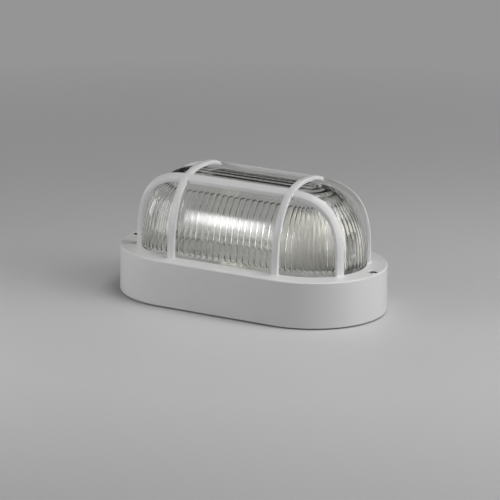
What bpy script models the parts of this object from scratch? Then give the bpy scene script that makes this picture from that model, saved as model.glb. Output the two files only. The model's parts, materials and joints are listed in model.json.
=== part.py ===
# Oval caged ceiling light
#
# A fluted glass sits in a one-piece cover whose skirt, rim and cage are a single moulding.
# Two screws at the ends hold the cover to a pan on the wall, which carries the lamp holder,
# the terminal block and the leads.
#
# Units are metres. The origin is the centre of the flat back, +Z points out of the wall or
# ceiling, and +X runs along the light towards the lamp holder. Every oval is a stadium: all
# the points at one radius from a straight spine that lies along X.

import math

import bmesh
import bpy
from mathutils import Vector

# Clearances
FIT = 0.0003                # between a piece and the one it seats on or in
SHANK_FIT = 0.0003          # round a screw in its hole

# Overall plan
SPINE = 0.0475              # half the length of the straight sides
ROUND_STEPS = 18            # facets on each round end of the cover and the glass
HIDDEN_STEPS = 12           # the same on the pieces inside
ROUND_FACETS = 16           # on the turned forms that show
HIDDEN_FACETS = 12          # on those inside
SCREW_FACETS = 8            # on small screws and their holes
HOLDER_FACETS = 24

# Small screws: their heads in terms of the radius of the shank
HEAD_WIDTH_SHARE = 1.6
HEAD_HEIGHT_SHARE = 1.15
SCREW_POINT_SHARE = 0.55

# Front cover: skirt and rim
COVER_HEIGHT = 0.035        # back to the flat top of the rim
RIM_WIDTH = 0.016           # edge of the glass to the outside of the skirt
COVER_WALL = 0.0025
RIM_THICKNESS = 0.003
RIM_EDGE_RADIUS = 0.0015
RIM_INNER_CHAMFER = 0.0005
OPENING_GAP = 0.0005        # glass to the edge of the rim's opening
INSIDE_CORNER = 0.001

# Glass
GLASS_RADIUS = 0.0415
GLASS_RISE = 0.0585         # rim to the crown of the glass
GLASS_SQUARENESS = 2.35     # exponent of the dome's section, where 2 is an ellipse
GLASS_WALL = 0.003
FLANGE_WIDTH = 0.0055
FLANGE_THICKNESS = 0.003
FLUTE_PITCH = 0.005
FLUTE_DEPTH = 0.0009
FLUTE_FOOT = 0.0012         # rim to where the flutes begin to open
FLUTE_RUNOUT = 0.0018
FLUTE_END = 0.80            # share of the dome's rise at which the upright flutes close
CROWN_RINGS = 4             # lengthwise flutes on each half of the crown
DOME_ROWS = 7
FLUTED_ROWS = (0.42, 0.68)    # shares of the rise at which the flutes have a ring of points
CROWN_START = 0.03          # plain strip above the upright flutes, as a share of the rise
CROWN_INSET = 0.93          # edge of the crown's flutes over that of the plain strip

# Cage
BAR_THICKNESS = 0.0027
BAR_EDGE_RADIUS = 0.0011
BAR_CROWN = 0.00025         # how far the outer face of a bar swells
BAR_FLARE = 0.0007          # how much wider a bar's foot is where it runs into the rim
BAR_FLARE_HEIGHT = 0.0016
FOOT_DEPTH = 0.0012         # how deep a foot is rooted in the rim
CAGE_CLEARANCE = 0.00185    # crown of the glass to the hoops
CAGE_SQUARENESS = 2.54
HOOP_INSET = 0.004          # middle of a hoop to the start of the round end
HOOP_WIDTH = 0.0053
HOOP_STANDOFF = 0.0038      # side of the glass to the middle of a hoop's leg
HOOP_STEPS = 20
RAIL_WIDTH = 0.0064
RAIL_Y = 0.0237             # where the rails cross the hoops
RAIL_FOOT_Y = 0.0227
RAIL_BEND_INSET = 0.014     # where a rail begins to bend, to the start of the round end
RAIL_SQUARENESS = 3.13
RAIL_STEPS = 8

# Gasket under the rim, and the clips that push the glass up against it
GASKET_THICKNESS = 0.0012
GASKET_INSET = 0.0008       # edge of the opening to the gasket
CLIP_X = 0.030
CLIP_WIDTH = 0.010
CLIP_THICKNESS = 0.0008
CLIP_GRIP = 0.0024          # how far a clip reaches under the flange
CLIP_LIP = 0.0022           # the inner edge, bent away from the flange
CLIP_BOSS_RADIUS = 0.003
CLIP_BOSS_INSET = 0.0028    # middle of a boss to the inside of the skirt
CLIP_SCREW_RADIUS = 0.0015
CLIP_SCREW_LENGTH = 0.0046
BOSS_FLANGE_GAP = 0.0005    # bosses are trimmed this clear of the glass flange

# Cover screws
COVER_SCREW_RADIUS = 0.00175
COVER_SCREW_HEAD = 0.0032
COVER_SCREW_HEAD_HEIGHT = 0.0017
COVER_SCREW_GRIP = 0.012    # length in the pan's post
COVER_SCREW_INSET = 0.0053  # middle of a screw to the outside of the skirt
COVER_BOSS_RADIUS = 0.0042
COVER_BOSS_DEPTH = 0.0035
COUNTERBORE_DEPTH = 0.003
COUNTERBORE_GAP = 0.0004
SEAL_RING_THICKNESS = 0.0006
RECESS_WIDTH = 0.0008
RECESS_LENGTH = 0.0036
RECESS_DEPTH = 0.0011

# Back pan
PAN_FLOOR = 0.003
PAN_WALL = 0.002
PAN_DEPTH = 0.014
PAN_GAP = 0.0004            # pan to the inside of the skirt
PAN_CORNER = 0.0015
POST_RADIUS = 0.0034
WALL_SEAL_WIDTH = 0.004
WALL_SEAL_HEIGHT = 0.0015
WALL_SEAL_INSET = 0.0025    # seal to the edge of the pan

# Wall-fixing slots, one at each end on opposite sides, each with a collar that keeps water out
SLOT_X = 0.045
SLOT_Y = 0.034
SLOT_WIDTH = 0.005
SLOT_LENGTH = 0.012
COLLAR_WALL = 0.0018
COLLAR_HEIGHT = 0.0025

# Cable entry and its grommet
GROMMET_INSET = 0.043       # middle of the cable entry to the end of the cover
ENTRY_RADIUS = 0.0065
GROMMET_FLANGE = 0.0026
GROMMET_FLANGE_THICKNESS = 0.0010
GROMMET_NOZZLE = 0.0055
GROMMET_BORE = 0.0033

# Lamp holder, lying along X with its mouth towards -X
HOLDER_GLASS_GAP = 0.0008   # upper screw behind the holder to the inside of the glass
HOLDER_AXIS_RISE = 0.015    # the holder's axis above the rim
HOLDER_RADIUS = 0.022
HOLDER_SKIRT_LENGTH = 0.030
HOLDER_TAPER = 0.004
HOLDER_REAR_RADIUS = 0.018
HOLDER_LENGTH = 0.046
HOLDER_BORE_DEPTH = 0.032
HOLDER_EDGE = 0.0012
SHELL_RADIUS = 0.0135       # mean radius of the lamp thread
SHELL_THREAD_DEPTH = 0.0005
SHELL_THREAD_PITCH = 0.0036
SHELL_SHEET = 0.0004
SHELL_SETBACK = 0.003
SHELL_LENGTH = 0.025
SHELL_FACETS = 12
CONTACT_SHEET = 0.0005
CONTACT_WIDTH = 0.006
CONTACT_RISE = 0.005
CONTACT_SCREW_RADIUS = 0.001
CONTACT_SCREW_LENGTH = 0.004
CONTACT_SCREW_OFFSET = 0.0085

# Bracket: one folded strip of steel
BRACKET_WIDTH = 0.011
BRACKET_SHEET = 0.0015
BRACKET_FOOT = 0.020
BRACKET_ABOVE_AXIS = 0.010
BRACKET_SCREW_RADIUS = 0.0015
BRACKET_SCREW_LENGTH = 0.0065
BRACKET_SCREW_SPACING = 0.009
BRACKET_PAD_HEIGHT = 0.005
HOLDER_SCREW_SPREAD = 0.007  # above and below the holder's axis
HOLDER_SCREW_LENGTH = 0.007

# Terminal block, three poles across Y
BLOCK_X = -0.022
BLOCK_LENGTH = 0.018
BLOCK_HEIGHT = 0.014
BLOCK_BASE = 0.005
POLE_PITCH = 0.011
POLE_WIDTH = 0.0085
BLOCK_EAR = 0.0062
BLOCK_PAD_HEIGHT = 0.003
BLOCK_PAD_RADIUS = 0.0030
BLOCK_SCREW_RADIUS = 0.00125
BLOCK_SCREW_LENGTH = 0.0085
WELL_RADIUS = 0.0022
WELL_DEPTH = 0.0060
WELL_SPREAD = 0.0045
CLAMP_SCREW_HEIGHT = 0.0032
WIRE_HOLE_DEPTH = 0.004
WIRE_HOLE_HEIGHT = 0.0045   # above the underside of the block

# Earth point on the pan
EARTH_X = 0.008
EARTH_Y = 0.020
EARTH_BOSS_RADIUS = 0.0045
EARTH_BOSS_HEIGHT = 0.004
EARTH_SCREW_RADIUS = 0.002
EARTH_SCREW_LENGTH = 0.0075
WASHER_THICKNESS = 0.0006
TAG_SHEET = 0.0008
TAG_TAIL = 0.009

# Leads
LEAD_RADIUS = 0.0012
LEAD_FIT = 0.0006           # round a lead in its hole
LEAD_SIDE_Y = 0.008         # how far from the middle the two leads pass the bracket
LEAD_LEAVE = 0.003          # straight run out of the terminal block
LEAD_DROP_RUN = 0.011       # over which a lead comes down to the floor of the pan
LEAD_CROSS_RUN = 0.016      # over which it moves in towards the bracket
LEAD_BEND = 0.004           # size of its bend up to the holder
LEAD_LOOP = 0.009           # how far the earth lead swings out before its tag

# Sizes that follow from those above
COVER_RADIUS = GLASS_RADIUS + RIM_WIDTH
COVER_END_X = SPINE + COVER_RADIUS
SKIRT_INSIDE = COVER_RADIUS - COVER_WALL
OPENING_RADIUS = GLASS_RADIUS + OPENING_GAP
RIM_UNDERSIDE = COVER_HEIGHT - RIM_THICKNESS
FLANGE_RADIUS = GLASS_RADIUS + FLANGE_WIDTH
GASKET_TOP = RIM_UNDERSIDE - FIT
FLANGE_TOP = GASKET_TOP - GASKET_THICKNESS - FIT
FLANGE_UNDERSIDE = FLANGE_TOP - FLANGE_THICKNESS
GLASS_TOP = COVER_HEIGHT + GLASS_RISE
CAGE_TOP = GLASS_TOP + CAGE_CLEARANCE + BAR_THICKNESS / 2
HOOP_X = SPINE - HOOP_INSET
HOOP_REACH = GLASS_RADIUS + HOOP_STANDOFF
RAIL_STRAIGHT = SPINE - RAIL_BEND_INSET
FOOT_Z = COVER_HEIGHT - FOOT_DEPTH
RAIL_FOOT_RADIUS = OPENING_RADIUS + BAR_THICKNESS / 2 + FIT / 2
RAIL_FOOT_X = SPINE + math.sqrt(RAIL_FOOT_RADIUS ** 2 - RAIL_FOOT_Y ** 2)
CLIP_BOSS_Y = SKIRT_INSIDE - CLIP_BOSS_INSET
COVER_SCREW_X = COVER_END_X - COVER_SCREW_INSET
COUNTERBORE_FLOOR = COVER_HEIGHT - COUNTERBORE_DEPTH
COVER_BOSS_UNDERSIDE = RIM_UNDERSIDE - COVER_BOSS_DEPTH
POST_TOP = COVER_BOSS_UNDERSIDE - FIT
PAN_RADIUS = SKIRT_INSIDE - PAN_GAP
SLOT_PLACES = ((SLOT_X, SLOT_Y), (-SLOT_X, -SLOT_Y))
GROMMET_X = GROMMET_INSET - COVER_END_X
HOLLOW_RADIUS = GLASS_RADIUS - GLASS_WALL - FLUTE_DEPTH
HOLLOW_RISE = GLASS_RISE - GLASS_WALL - FLUTE_DEPTH
HOLDER_AXIS_Z = COVER_HEIGHT + HOLDER_AXIS_RISE
HOLDER_SCREW_TOP = HOLDER_AXIS_RISE + HOLDER_SCREW_SPREAD + HEAD_WIDTH_SHARE * BRACKET_SCREW_RADIUS
HOLLOW_SHARE = 1 - (HOLDER_SCREW_TOP / HOLLOW_RISE) ** GLASS_SQUARENESS
HOLDER_BACKING = BRACKET_SHEET + HEAD_HEIGHT_SHARE * BRACKET_SCREW_RADIUS + 2 * FIT
HOLDER_ROOM = HOLLOW_RADIUS * HOLLOW_SHARE ** (1 / GLASS_SQUARENESS) - HOLDER_GLASS_GAP
HOLDER_REAR_X = SPINE + HOLDER_ROOM - HOLDER_BACKING
HOLDER_MOUTH_X = HOLDER_REAR_X - HOLDER_LENGTH
BORE_FLOOR_X = HOLDER_MOUTH_X + HOLDER_BORE_DEPTH
BORE_RADIUS = SHELL_RADIUS + SHELL_THREAD_DEPTH + SHELL_SHEET + FIT
BRACKET_X = HOLDER_REAR_X + FIT
BLOCK_UNDERSIDE = PAN_FLOOR + BLOCK_PAD_HEIGHT + FIT
BLOCK_EAR_Y = POLE_PITCH + POLE_WIDTH / 2 + BLOCK_EAR / 2
WIRE_HOLE_Z = BLOCK_UNDERSIDE + WIRE_HOLE_HEIGHT
LEAD_FLOOR_Z = PAN_FLOOR + FIT + LEAD_RADIUS


def clear_scene():
    """Remove whatever the file holds, so that each run starts empty."""
    for thing in list(bpy.data.objects):
        bpy.data.objects.remove(thing, do_unlink=True)


def material(name, colour, roughness, metallic=0.0, transmission=0.0):
    """A Principled material with the finish of one kind of piece."""
    made = bpy.data.materials.new(name)
    made.use_nodes = True
    shader = made.node_tree.nodes["Principled BSDF"]
    shader.inputs["Base Color"].default_value = (*colour, 1.0)
    shader.inputs["Roughness"].default_value = roughness
    shader.inputs["Metallic"].default_value = metallic
    shader.inputs["Transmission Weight"].default_value = transmission
    return made


def add_object(name, mesh_builder, finish, smooth=35.0):
    """Turn a bmesh into a named object, shaded smooth except across sharp edges."""
    bmesh.ops.recalc_face_normals(mesh_builder, faces=mesh_builder.faces)
    mesh = bpy.data.meshes.new(name)
    mesh_builder.to_mesh(mesh)
    mesh_builder.free()
    mesh.shade_smooth()
    mesh.set_sharp_from_angle(angle=math.radians(smooth))
    if finish:
        mesh.materials.append(finish)
    thing = bpy.data.objects.new(name, mesh)
    bpy.context.collection.objects.link(thing)
    return thing


def combine(target, tool, operation):
    """Join, cut or trim one object by another, which is kept only as a guide."""
    tool.hide_render = True
    tool.display_type = "WIRE"
    modifier = target.modifiers.new(tool.name, "BOOLEAN")
    modifier.operation = operation
    modifier.solver = "EXACT"
    modifier.object = tool


def skin_rings(mesh_builder, rings, closed=False, caps=True):
    """Bridge rings of equal count with quads, and cap the ends or join them up."""
    rows = [[mesh_builder.verts.new(point) for point in ring] for ring in rings]
    pairs = list(zip(rows, rows[1:]))
    if closed:
        pairs.append((rows[-1], rows[0]))
    for low, high in pairs:
        count = len(low)
        for place in range(count):
            after = (place + 1) % count
            mesh_builder.faces.new((low[place], low[after], high[after], high[place]))
    if caps and not closed:
        mesh_builder.faces.new(list(reversed(rows[0])))
        mesh_builder.faces.new(rows[-1])
    return rows


def stadium(radius, height, spine=None, steps=ROUND_STEPS):
    """One oval outline at a height, anticlockwise from the front of the +X end."""
    half = SPINE if spine is None else spine
    points = []
    for centre, start in ((half, -math.pi / 2), (-half, math.pi / 2)):
        for step in range(steps + 1):
            angle = start + math.pi * step / steps
            points.append((centre + radius * math.cos(angle), radius * math.sin(angle), height))
    return points


def stadium_solid(name, profile, finish, closed=False, steps=ROUND_STEPS):
    """Sweep a profile of (radius, height) pairs round the oval."""
    builder = bmesh.new()
    rings = [stadium(radius, height, steps=steps) for radius, height in profile]
    skin_rings(builder, rings, closed=closed)
    return add_object(name, builder, finish)


def arc(centre, radius, start, end, steps):
    """Points of an arc in a profile, with its angles in degrees."""
    points = []
    for step in range(steps + 1):
        angle = math.radians(start + (end - start) * step / steps)
        points.append((centre[0] + radius * math.cos(angle), centre[1] + radius * math.sin(angle)))
    return points


def add_turned(builder, profile, place=(0, 0, 0), axis="Z", facets=ROUND_FACETS, closed=False):
    """Turn a profile of (radius, distance along the axis) pairs into a solid."""
    rings = []
    for radius, along in profile:
        ring = []
        for facet in range(facets):
            angle = 2 * math.pi * facet / facets
            across = (radius * math.cos(angle), radius * math.sin(angle))
            if axis == "Z":
                point = (across[0], across[1], along)
            elif axis == "X":
                point = (along, across[0], across[1])
            else:
                point = (across[1], along, across[0])
            ring.append(Vector(point) + Vector(place))
        rings.append(ring)
    skin_rings(builder, rings, closed=closed)


def turned(name, profile, finish, place=(0, 0, 0), axis="Z", facets=ROUND_FACETS, closed=False):
    """One turned piece."""
    builder = bmesh.new()
    add_turned(builder, profile, place, axis, facets, closed)
    return add_object(name, builder, finish)


def add_prism(builder, outline, low, high):
    """Extrude an outline of (x, y) pairs between two heights."""
    skin_rings(builder, [[(x, y, low) for x, y in outline], [(x, y, high) for x, y in outline]])


def slot_outline(place, length, width, steps=6):
    """A round-ended slot that runs along X."""
    half = (length - width) / 2
    flat = stadium(width / 2, 0, spine=half, steps=steps)
    return [(place[0] + x, place[1] + y) for x, y, _ in flat]


def folded_strip(name, path, thickness, width, finish, centre_y=0.0):
    """Sheet metal folded along a path of (x, z) pairs, with its outer face on the path."""
    points = [Vector(point) for point in path]
    offset = []
    for place, point in enumerate(points):
        before = (point - points[place - 1]).normalized() if place else None
        after = (points[place + 1] - point).normalized() if place + 1 < len(points) else None
        first = before or after
        second = after or before
        mid = (Vector((-first.y, first.x)) + Vector((-second.y, second.x))).normalized()
        stretch = thickness / mid.dot(Vector((-second.y, second.x)))
        offset.append(point + mid * stretch)
    outline = [(p.x, p.y) for p in points] + [(p.x, p.y) for p in reversed(offset)]
    builder = bmesh.new()
    sides = [[(x, centre_y + side * width / 2, z) for x, z in outline] for side in (-1, 1)]
    skin_rings(builder, sides)
    return add_object(name, builder, finish, smooth=25.0)


def screw_profile(shank, length, head, head_height):
    """Half section of a screw whose head stands on height 0 and whose shank goes down."""
    return [
        (shank * SCREW_POINT_SHARE, -length),
        (shank, -length + shank * SCREW_POINT_SHARE),
        (shank, 0),
        (head, 0),
        (head, head_height * 0.6),
        (head * 0.6, head_height),
    ]


def add_screw(name, place, finish, shank, length, axis="Z", facets=SCREW_FACETS):
    """One small screw with its head's underside at the given place."""
    profile = screw_profile(shank, length, shank * HEAD_WIDTH_SHARE, shank * HEAD_HEIGHT_SHARE)
    if axis == "-Z":
        profile = [(radius, -along) for radius, along in profile]
        return turned(name, profile, finish, place, "Z", facets)
    return turned(name, profile, finish, place, axis, facets)


# Cage

def power(value, exponent):
    """A power that keeps the sign of its base."""
    return math.copysign(abs(value) ** exponent, value)


def cage_normal(point):
    """Outward direction of the domed surface that the cage's bars lie on."""
    rise = CAGE_TOP - FOOT_Z
    beyond = math.copysign(max(abs(point.x) - SPINE, 0.0), point.x)
    side = Vector((beyond, point.y))
    reach = side.length
    flat = Vector((0.0, 0.0)) if reach == 0 else side / reach
    sideways = (reach / HOOP_REACH) ** (CAGE_SQUARENESS - 1) / HOOP_REACH
    upward = (max(point.z - FOOT_Z, 0.0) / rise) ** (CAGE_SQUARENESS - 1) / rise
    return Vector((flat.x * sideways, flat.y * sideways, upward)).normalized()


def hoop_path(x):
    """Middle line of a cross hoop: a squared arch over the glass."""
    share = 2 / CAGE_SQUARENESS
    points = [Vector((x, -HOOP_REACH, FOOT_Z))]
    points.append(Vector((x, -HOOP_REACH, COVER_HEIGHT)))
    for step in range(HOOP_STEPS + 1):
        angle = math.pi * step / HOOP_STEPS
        y = -HOOP_REACH * power(math.cos(angle), share)
        z = COVER_HEIGHT + BAR_FLARE_HEIGHT
        z += (CAGE_TOP - z) * power(math.sin(angle), share)
        points.append(Vector((x, y, z)))
    points.append(Vector((x, HOOP_REACH, COVER_HEIGHT)))
    points.append(Vector((x, HOOP_REACH, FOOT_Z)))
    return points


def rail_height():
    """Height at which a rail meets the hoops, so that the crossings are flush."""
    low = COVER_HEIGHT + BAR_FLARE_HEIGHT
    share = 1 - (RAIL_Y / HOOP_REACH) ** CAGE_SQUARENESS
    return low + (CAGE_TOP - low) * share ** (1 / CAGE_SQUARENESS)


def rail_path(side):
    """Middle line of a lengthwise rail: straight along the top, then down at both ends."""
    share = 2 / RAIL_SQUARENESS
    low = COVER_HEIGHT + BAR_FLARE_HEIGHT
    half = []
    for step in range(RAIL_STEPS + 1):
        angle = math.pi / 2 * step / RAIL_STEPS
        across = math.cos(angle) ** share if step < RAIL_STEPS else 0.0
        x = RAIL_STRAIGHT + (RAIL_FOOT_X - RAIL_STRAIGHT) * across
        z = low + (rail_height() - low) * math.sin(angle) ** share
        y = RAIL_Y + (RAIL_FOOT_Y - RAIL_Y) * across
        half.append(Vector((x, side * y, z)))
    foot = [Vector((half[0].x, half[0].y, height)) for height in (FOOT_Z, COVER_HEIGHT)]
    right = foot + half
    left = [Vector((-point.x, point.y, point.z)) for point in reversed(right)]
    return right + left


def bar_section(width):
    """Section of a bar as (across, outward) pairs: soft outer edges and a slight crown."""
    half = width / 2
    deep = BAR_THICKNESS / 2
    edge = BAR_EDGE_RADIUS
    turn = edge * (1 - math.sqrt(0.5))
    right = [
        (half, -deep),
        (half, deep - edge),
        (half - turn, deep - turn),
        (half - edge, deep),
    ]
    left = [(-across, outward) for across, outward in reversed(right)]
    return right + [(0.0, deep + BAR_CROWN)] + left


def add_bar(builder, path, width):
    """Sweep a bar's section along its path, turned to face out of the dome."""
    section = bar_section(width)
    rings = []
    last = len(path) - 1
    for place, point in enumerate(path):
        tangent = (path[min(place + 1, last)] - path[max(place - 1, 0)]).normalized()
        outward = cage_normal(point)
        outward = (outward - tangent * outward.dot(tangent)).normalized()
        across = tangent.cross(outward)
        wide = BAR_FLARE if point.z < COVER_HEIGHT + BAR_FLARE_HEIGHT / 4 else 0.0
        grow_across = 1 + 2 * wide / width
        grow_outward = 1 + wide / BAR_THICKNESS
        ring = []
        for u, v in section:
            ring.append(point + across * u * grow_across + outward * (v * grow_outward + wide / 2))
        rings.append(ring)
    skin_rings(builder, rings)


def cage_bars(name, paths, width):
    """Two bars that don't touch each other, as one tool for the cover."""
    builder = bmesh.new()
    for path in paths:
        add_bar(builder, path, width)
    return add_object(name, builder, None)


# Front cover

def cover_profile():
    """Half section of the skirt and rim, round the outside and back along the inside."""
    edge = arc((COVER_RADIUS - RIM_EDGE_RADIUS, COVER_HEIGHT - RIM_EDGE_RADIUS), RIM_EDGE_RADIUS, 0, 90, 3)
    corner = arc((SKIRT_INSIDE - INSIDE_CORNER, RIM_UNDERSIDE - INSIDE_CORNER), INSIDE_CORNER, 90, 0, 2)
    lip = [
        (OPENING_RADIUS + RIM_INNER_CHAMFER, COVER_HEIGHT),
        (OPENING_RADIUS, COVER_HEIGHT - RIM_INNER_CHAMFER),
        (OPENING_RADIUS, RIM_UNDERSIDE),
    ]
    return [(COVER_RADIUS, 0.0)] + edge + lip + corner + [(SKIRT_INSIDE, 0.0)]


def cover_bosses():
    """Bosses under the rim: four for the clips and two for the cover screws."""
    builder = bmesh.new()
    rooted = RIM_UNDERSIDE + RIM_THICKNESS / 3
    for x in (-CLIP_X, CLIP_X):
        for side in (-1, 1):
            profile = [(CLIP_BOSS_RADIUS, FLANGE_UNDERSIDE), (CLIP_BOSS_RADIUS, rooted)]
            add_turned(builder, profile, (x, side * CLIP_BOSS_Y, 0), facets=HIDDEN_FACETS)
    for side in (-1, 1):
        profile = [(COVER_BOSS_RADIUS, COVER_BOSS_UNDERSIDE), (COVER_BOSS_RADIUS, rooted)]
        add_turned(builder, profile, (side * COVER_SCREW_X, 0, 0))
    bosses = add_object("guide_cover_bosses", builder, None)
    inner = FLANGE_RADIUS + BOSS_FLANGE_GAP
    outer = SKIRT_INSIDE + COVER_WALL / 3
    ring = [(outer, 0.0), (outer, COVER_HEIGHT), (inner, COVER_HEIGHT), (inner, 0.0)]
    trim = stadium_solid("guide_boss_trim", ring, None, closed=True, steps=HIDDEN_STEPS)
    combine(bosses, trim, "INTERSECT")
    return bosses


def cover_holes():
    """Counterbored holes for the cover screws, and blind holes for the clip screws."""
    builder = bmesh.new()
    wide = COVER_SCREW_HEAD + COUNTERBORE_GAP
    narrow = COVER_SCREW_RADIUS + SHANK_FIT
    for side in (-1, 1):
        profile = [
            (narrow, COVER_BOSS_UNDERSIDE - FIT),
            (narrow, COUNTERBORE_FLOOR),
            (wide, COUNTERBORE_FLOOR),
            (wide, COVER_HEIGHT + RIM_THICKNESS),
        ]
        add_turned(builder, profile, (side * COVER_SCREW_X, 0, 0))
    pilot = CLIP_SCREW_RADIUS + SHANK_FIT
    depth = CLIP_SCREW_LENGTH - CLIP_THICKNESS
    for x in (-CLIP_X, CLIP_X):
        for side in (-1, 1):
            profile = [(pilot, FLANGE_UNDERSIDE - FIT), (pilot, FLANGE_UNDERSIDE + depth + FIT)]
            add_turned(builder, profile, (x, side * CLIP_BOSS_Y, 0), facets=SCREW_FACETS)
    return add_object("guide_cover_holes", builder, None)


def front_cover(finish):
    """Skirt, rim and cage, moulded in one piece."""
    cover = stadium_solid("front_cover", cover_profile(), finish, closed=True)
    hoops = [hoop_path(-HOOP_X), hoop_path(HOOP_X)]
    rails = [rail_path(-1), rail_path(1)]
    combine(cover, cover_bosses(), "UNION")
    combine(cover, cage_bars("guide_hoops", hoops, HOOP_WIDTH), "UNION")
    combine(cover, cage_bars("guide_rails", rails, RAIL_WIDTH), "UNION")
    combine(cover, cover_holes(), "DIFFERENCE")
    return cover


# Glass

def dome(radius, rise, angle):
    """Radius and height of the dome at an angle, on its squared section."""
    share = 2 / GLASS_SQUARENESS
    return radius * math.cos(angle) ** share, COVER_HEIGHT + rise * math.sin(angle) ** share


def dome_angle(share_of_rise):
    """The angle at which the dome has reached a share of its rise."""
    return math.asin(share_of_rise ** (GLASS_SQUARENESS / 2))


def fluted_ring(radius, height, depth):
    """An oval whose edge steps in and out once for each flute."""
    straight = round(2 * SPINE / FLUTE_PITCH)
    round_end = round(math.pi * GLASS_RADIUS / FLUTE_PITCH)
    points = []
    for side in (1, -1):
        for step in range(2 * round_end):
            angle = side * math.pi / 2 * (step / round_end - 1)
            if side < 0:
                angle = math.pi / 2 + math.pi * step / (2 * round_end)
            reach = radius + (depth if step % 2 else 0.0)
            points.append((side * SPINE + reach * math.cos(angle), reach * math.sin(angle), height))
        for step in range(2 * straight):
            reach = radius + (depth if step % 2 else 0.0)
            x = side * (SPINE - SPINE * step / straight)
            points.append((x, side * reach, height))
    return points


def plain_ring(radius, height):
    """The same oval with a few points only, at every second flute of the round ends."""
    round_end = round(math.pi * GLASS_RADIUS / FLUTE_PITCH)
    return stadium(radius, height, steps=round_end // 2)


def bridge_plain(builder, plain, fluted):
    """Join a plain ring to a fluted one, with two fans of triangles on each plain edge."""
    round_end = round(math.pi * GLASS_RADIUS / FLUTE_PITCH)
    straight = round(2 * SPINE / FLUTE_PITCH)
    steps = round_end // 2
    marks = []
    start = 0
    for _ in range(2):
        for step in range(steps + 1):
            marks.append(start + min(4 * step, 2 * round_end))
        start += 2 * round_end + 2 * straight
    total = len(fluted)
    for place, vertex in enumerate(plain):
        after = (place + 1) % len(plain)
        first, last = marks[place], marks[after]
        if last <= first:
            last += total
        run = [fluted[index % total] for index in range(first, last + 1)]
        half = len(run) // 2
        for index in range(half):
            builder.faces.new((vertex, run[index], run[index + 1]))
        builder.faces.new((vertex, run[half], plain[after]))
        for index in range(half, len(run) - 1):
            builder.faces.new((plain[after], run[index], run[index + 1]))


def glass_core():
    """The hollow of the glass: upright flutes on the walls, rings round the crown."""
    inner = HOLLOW_RADIUS
    rise = HOLLOW_RISE
    builder = bmesh.new()
    foot = COVER_HEIGHT + FLUTE_FOOT
    rows = [(inner, foot, 0.0), (inner, foot + FLUTE_RUNOUT, FLUTE_DEPTH)]
    for share in FLUTED_ROWS:
        rows.append((*dome(inner, rise, dome_angle(share)), FLUTE_DEPTH))
    rows.append((*dome(inner, rise, dome_angle(FLUTE_END)), 0.0))
    fluted = skin_rings(builder, [fluted_ring(*row) for row in rows], caps=False)

    low = [builder.verts.new(point) for point in plain_ring(inner, FLANGE_UNDERSIDE - FLANGE_THICKNESS)]
    builder.faces.new(list(reversed(low)))
    bridge_plain(builder, low, fluted[0])

    crown = [dome(inner, rise, dome_angle(FLUTE_END + CROWN_START))]
    edge_radius = crown[0][0] * CROWN_INSET
    for step in range(2 * CROWN_RINGS):
        radius = edge_radius * (1 - step / (2 * CROWN_RINGS))
        height = COVER_HEIGHT + rise * (1 - (radius / inner) ** GLASS_SQUARENESS) ** (1 / GLASS_SQUARENESS)
        crown.append((radius, height + (FLUTE_DEPTH if step % 2 else 0.0)))
    crown_rows = skin_rings(builder, [plain_ring(*row) for row in crown], caps=False)
    builder.faces.new(crown_rows[-1])
    bridge_plain(builder, crown_rows[0], fluted[-1])
    return add_object("guide_glass_core", builder, None)


def glass_dome(finish):
    """Pressed glass: smooth outside, fluted inside, with a flange that goes under the rim."""
    profile = [
        (FLANGE_RADIUS, FLANGE_UNDERSIDE),
        (FLANGE_RADIUS, FLANGE_TOP),
        (GLASS_RADIUS, FLANGE_TOP),
    ]
    for row in range(DOME_ROWS + 1):
        angle = math.pi / 2 * 0.975 * row / DOME_ROWS
        profile.append(dome(GLASS_RADIUS, GLASS_RISE, angle))
    glass = stadium_solid("glass_dome", profile, finish)
    combine(glass, glass_core(), "DIFFERENCE")
    return glass


def glass_gasket(finish):
    """Flat silicone ring between the glass flange and the rim."""
    inner = OPENING_RADIUS + GASKET_INSET
    low = GASKET_TOP - GASKET_THICKNESS
    ring = [(FLANGE_RADIUS, low), (FLANGE_RADIUS, GASKET_TOP), (inner, GASKET_TOP), (inner, low)]
    stadium_solid("glass_gasket", ring, finish, closed=True, steps=HIDDEN_STEPS)


def glass_clips(steel, zinc):
    """Four spring tabs screwed to the bosses, which hold the flange up."""
    top = FLANGE_UNDERSIDE - FIT
    inner = FLANGE_RADIUS - CLIP_GRIP
    outer = SKIRT_INSIDE - FIT * 2
    number = 0
    for x in (-CLIP_X, CLIP_X):
        for side in (-1, 1):
            number += 1
            builder = bmesh.new()
            low = top - CLIP_THICKNESS
            lip = top - CLIP_LIP
            bend = inner + CLIP_THICKNESS
            outline = [(inner, top), (outer, top), (outer, low), (bend, low), (bend, lip), (inner, lip)]
            ends = []
            for end in (-CLIP_WIDTH / 2, CLIP_WIDTH / 2):
                ends.append([(x + end, side * reach, height) for reach, height in outline])
            skin_rings(builder, ends)
            clip = add_object(f"glass_clip_{number}", builder, steel)
            hole = CLIP_SCREW_RADIUS + SHANK_FIT
            bore = [(hole, top - CLIP_THICKNESS - FIT), (hole, top + FIT)]
            place = (x, side * CLIP_BOSS_Y, 0)
            guide = turned(f"guide_clip_hole_{number}", bore, None, place, facets=SCREW_FACETS)
            combine(clip, guide, "DIFFERENCE")
            seat = (x, side * CLIP_BOSS_Y, top - CLIP_THICKNESS - FIT)
            add_screw(f"clip_screw_{number}", seat, zinc, CLIP_SCREW_RADIUS, CLIP_SCREW_LENGTH, "-Z")


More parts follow.
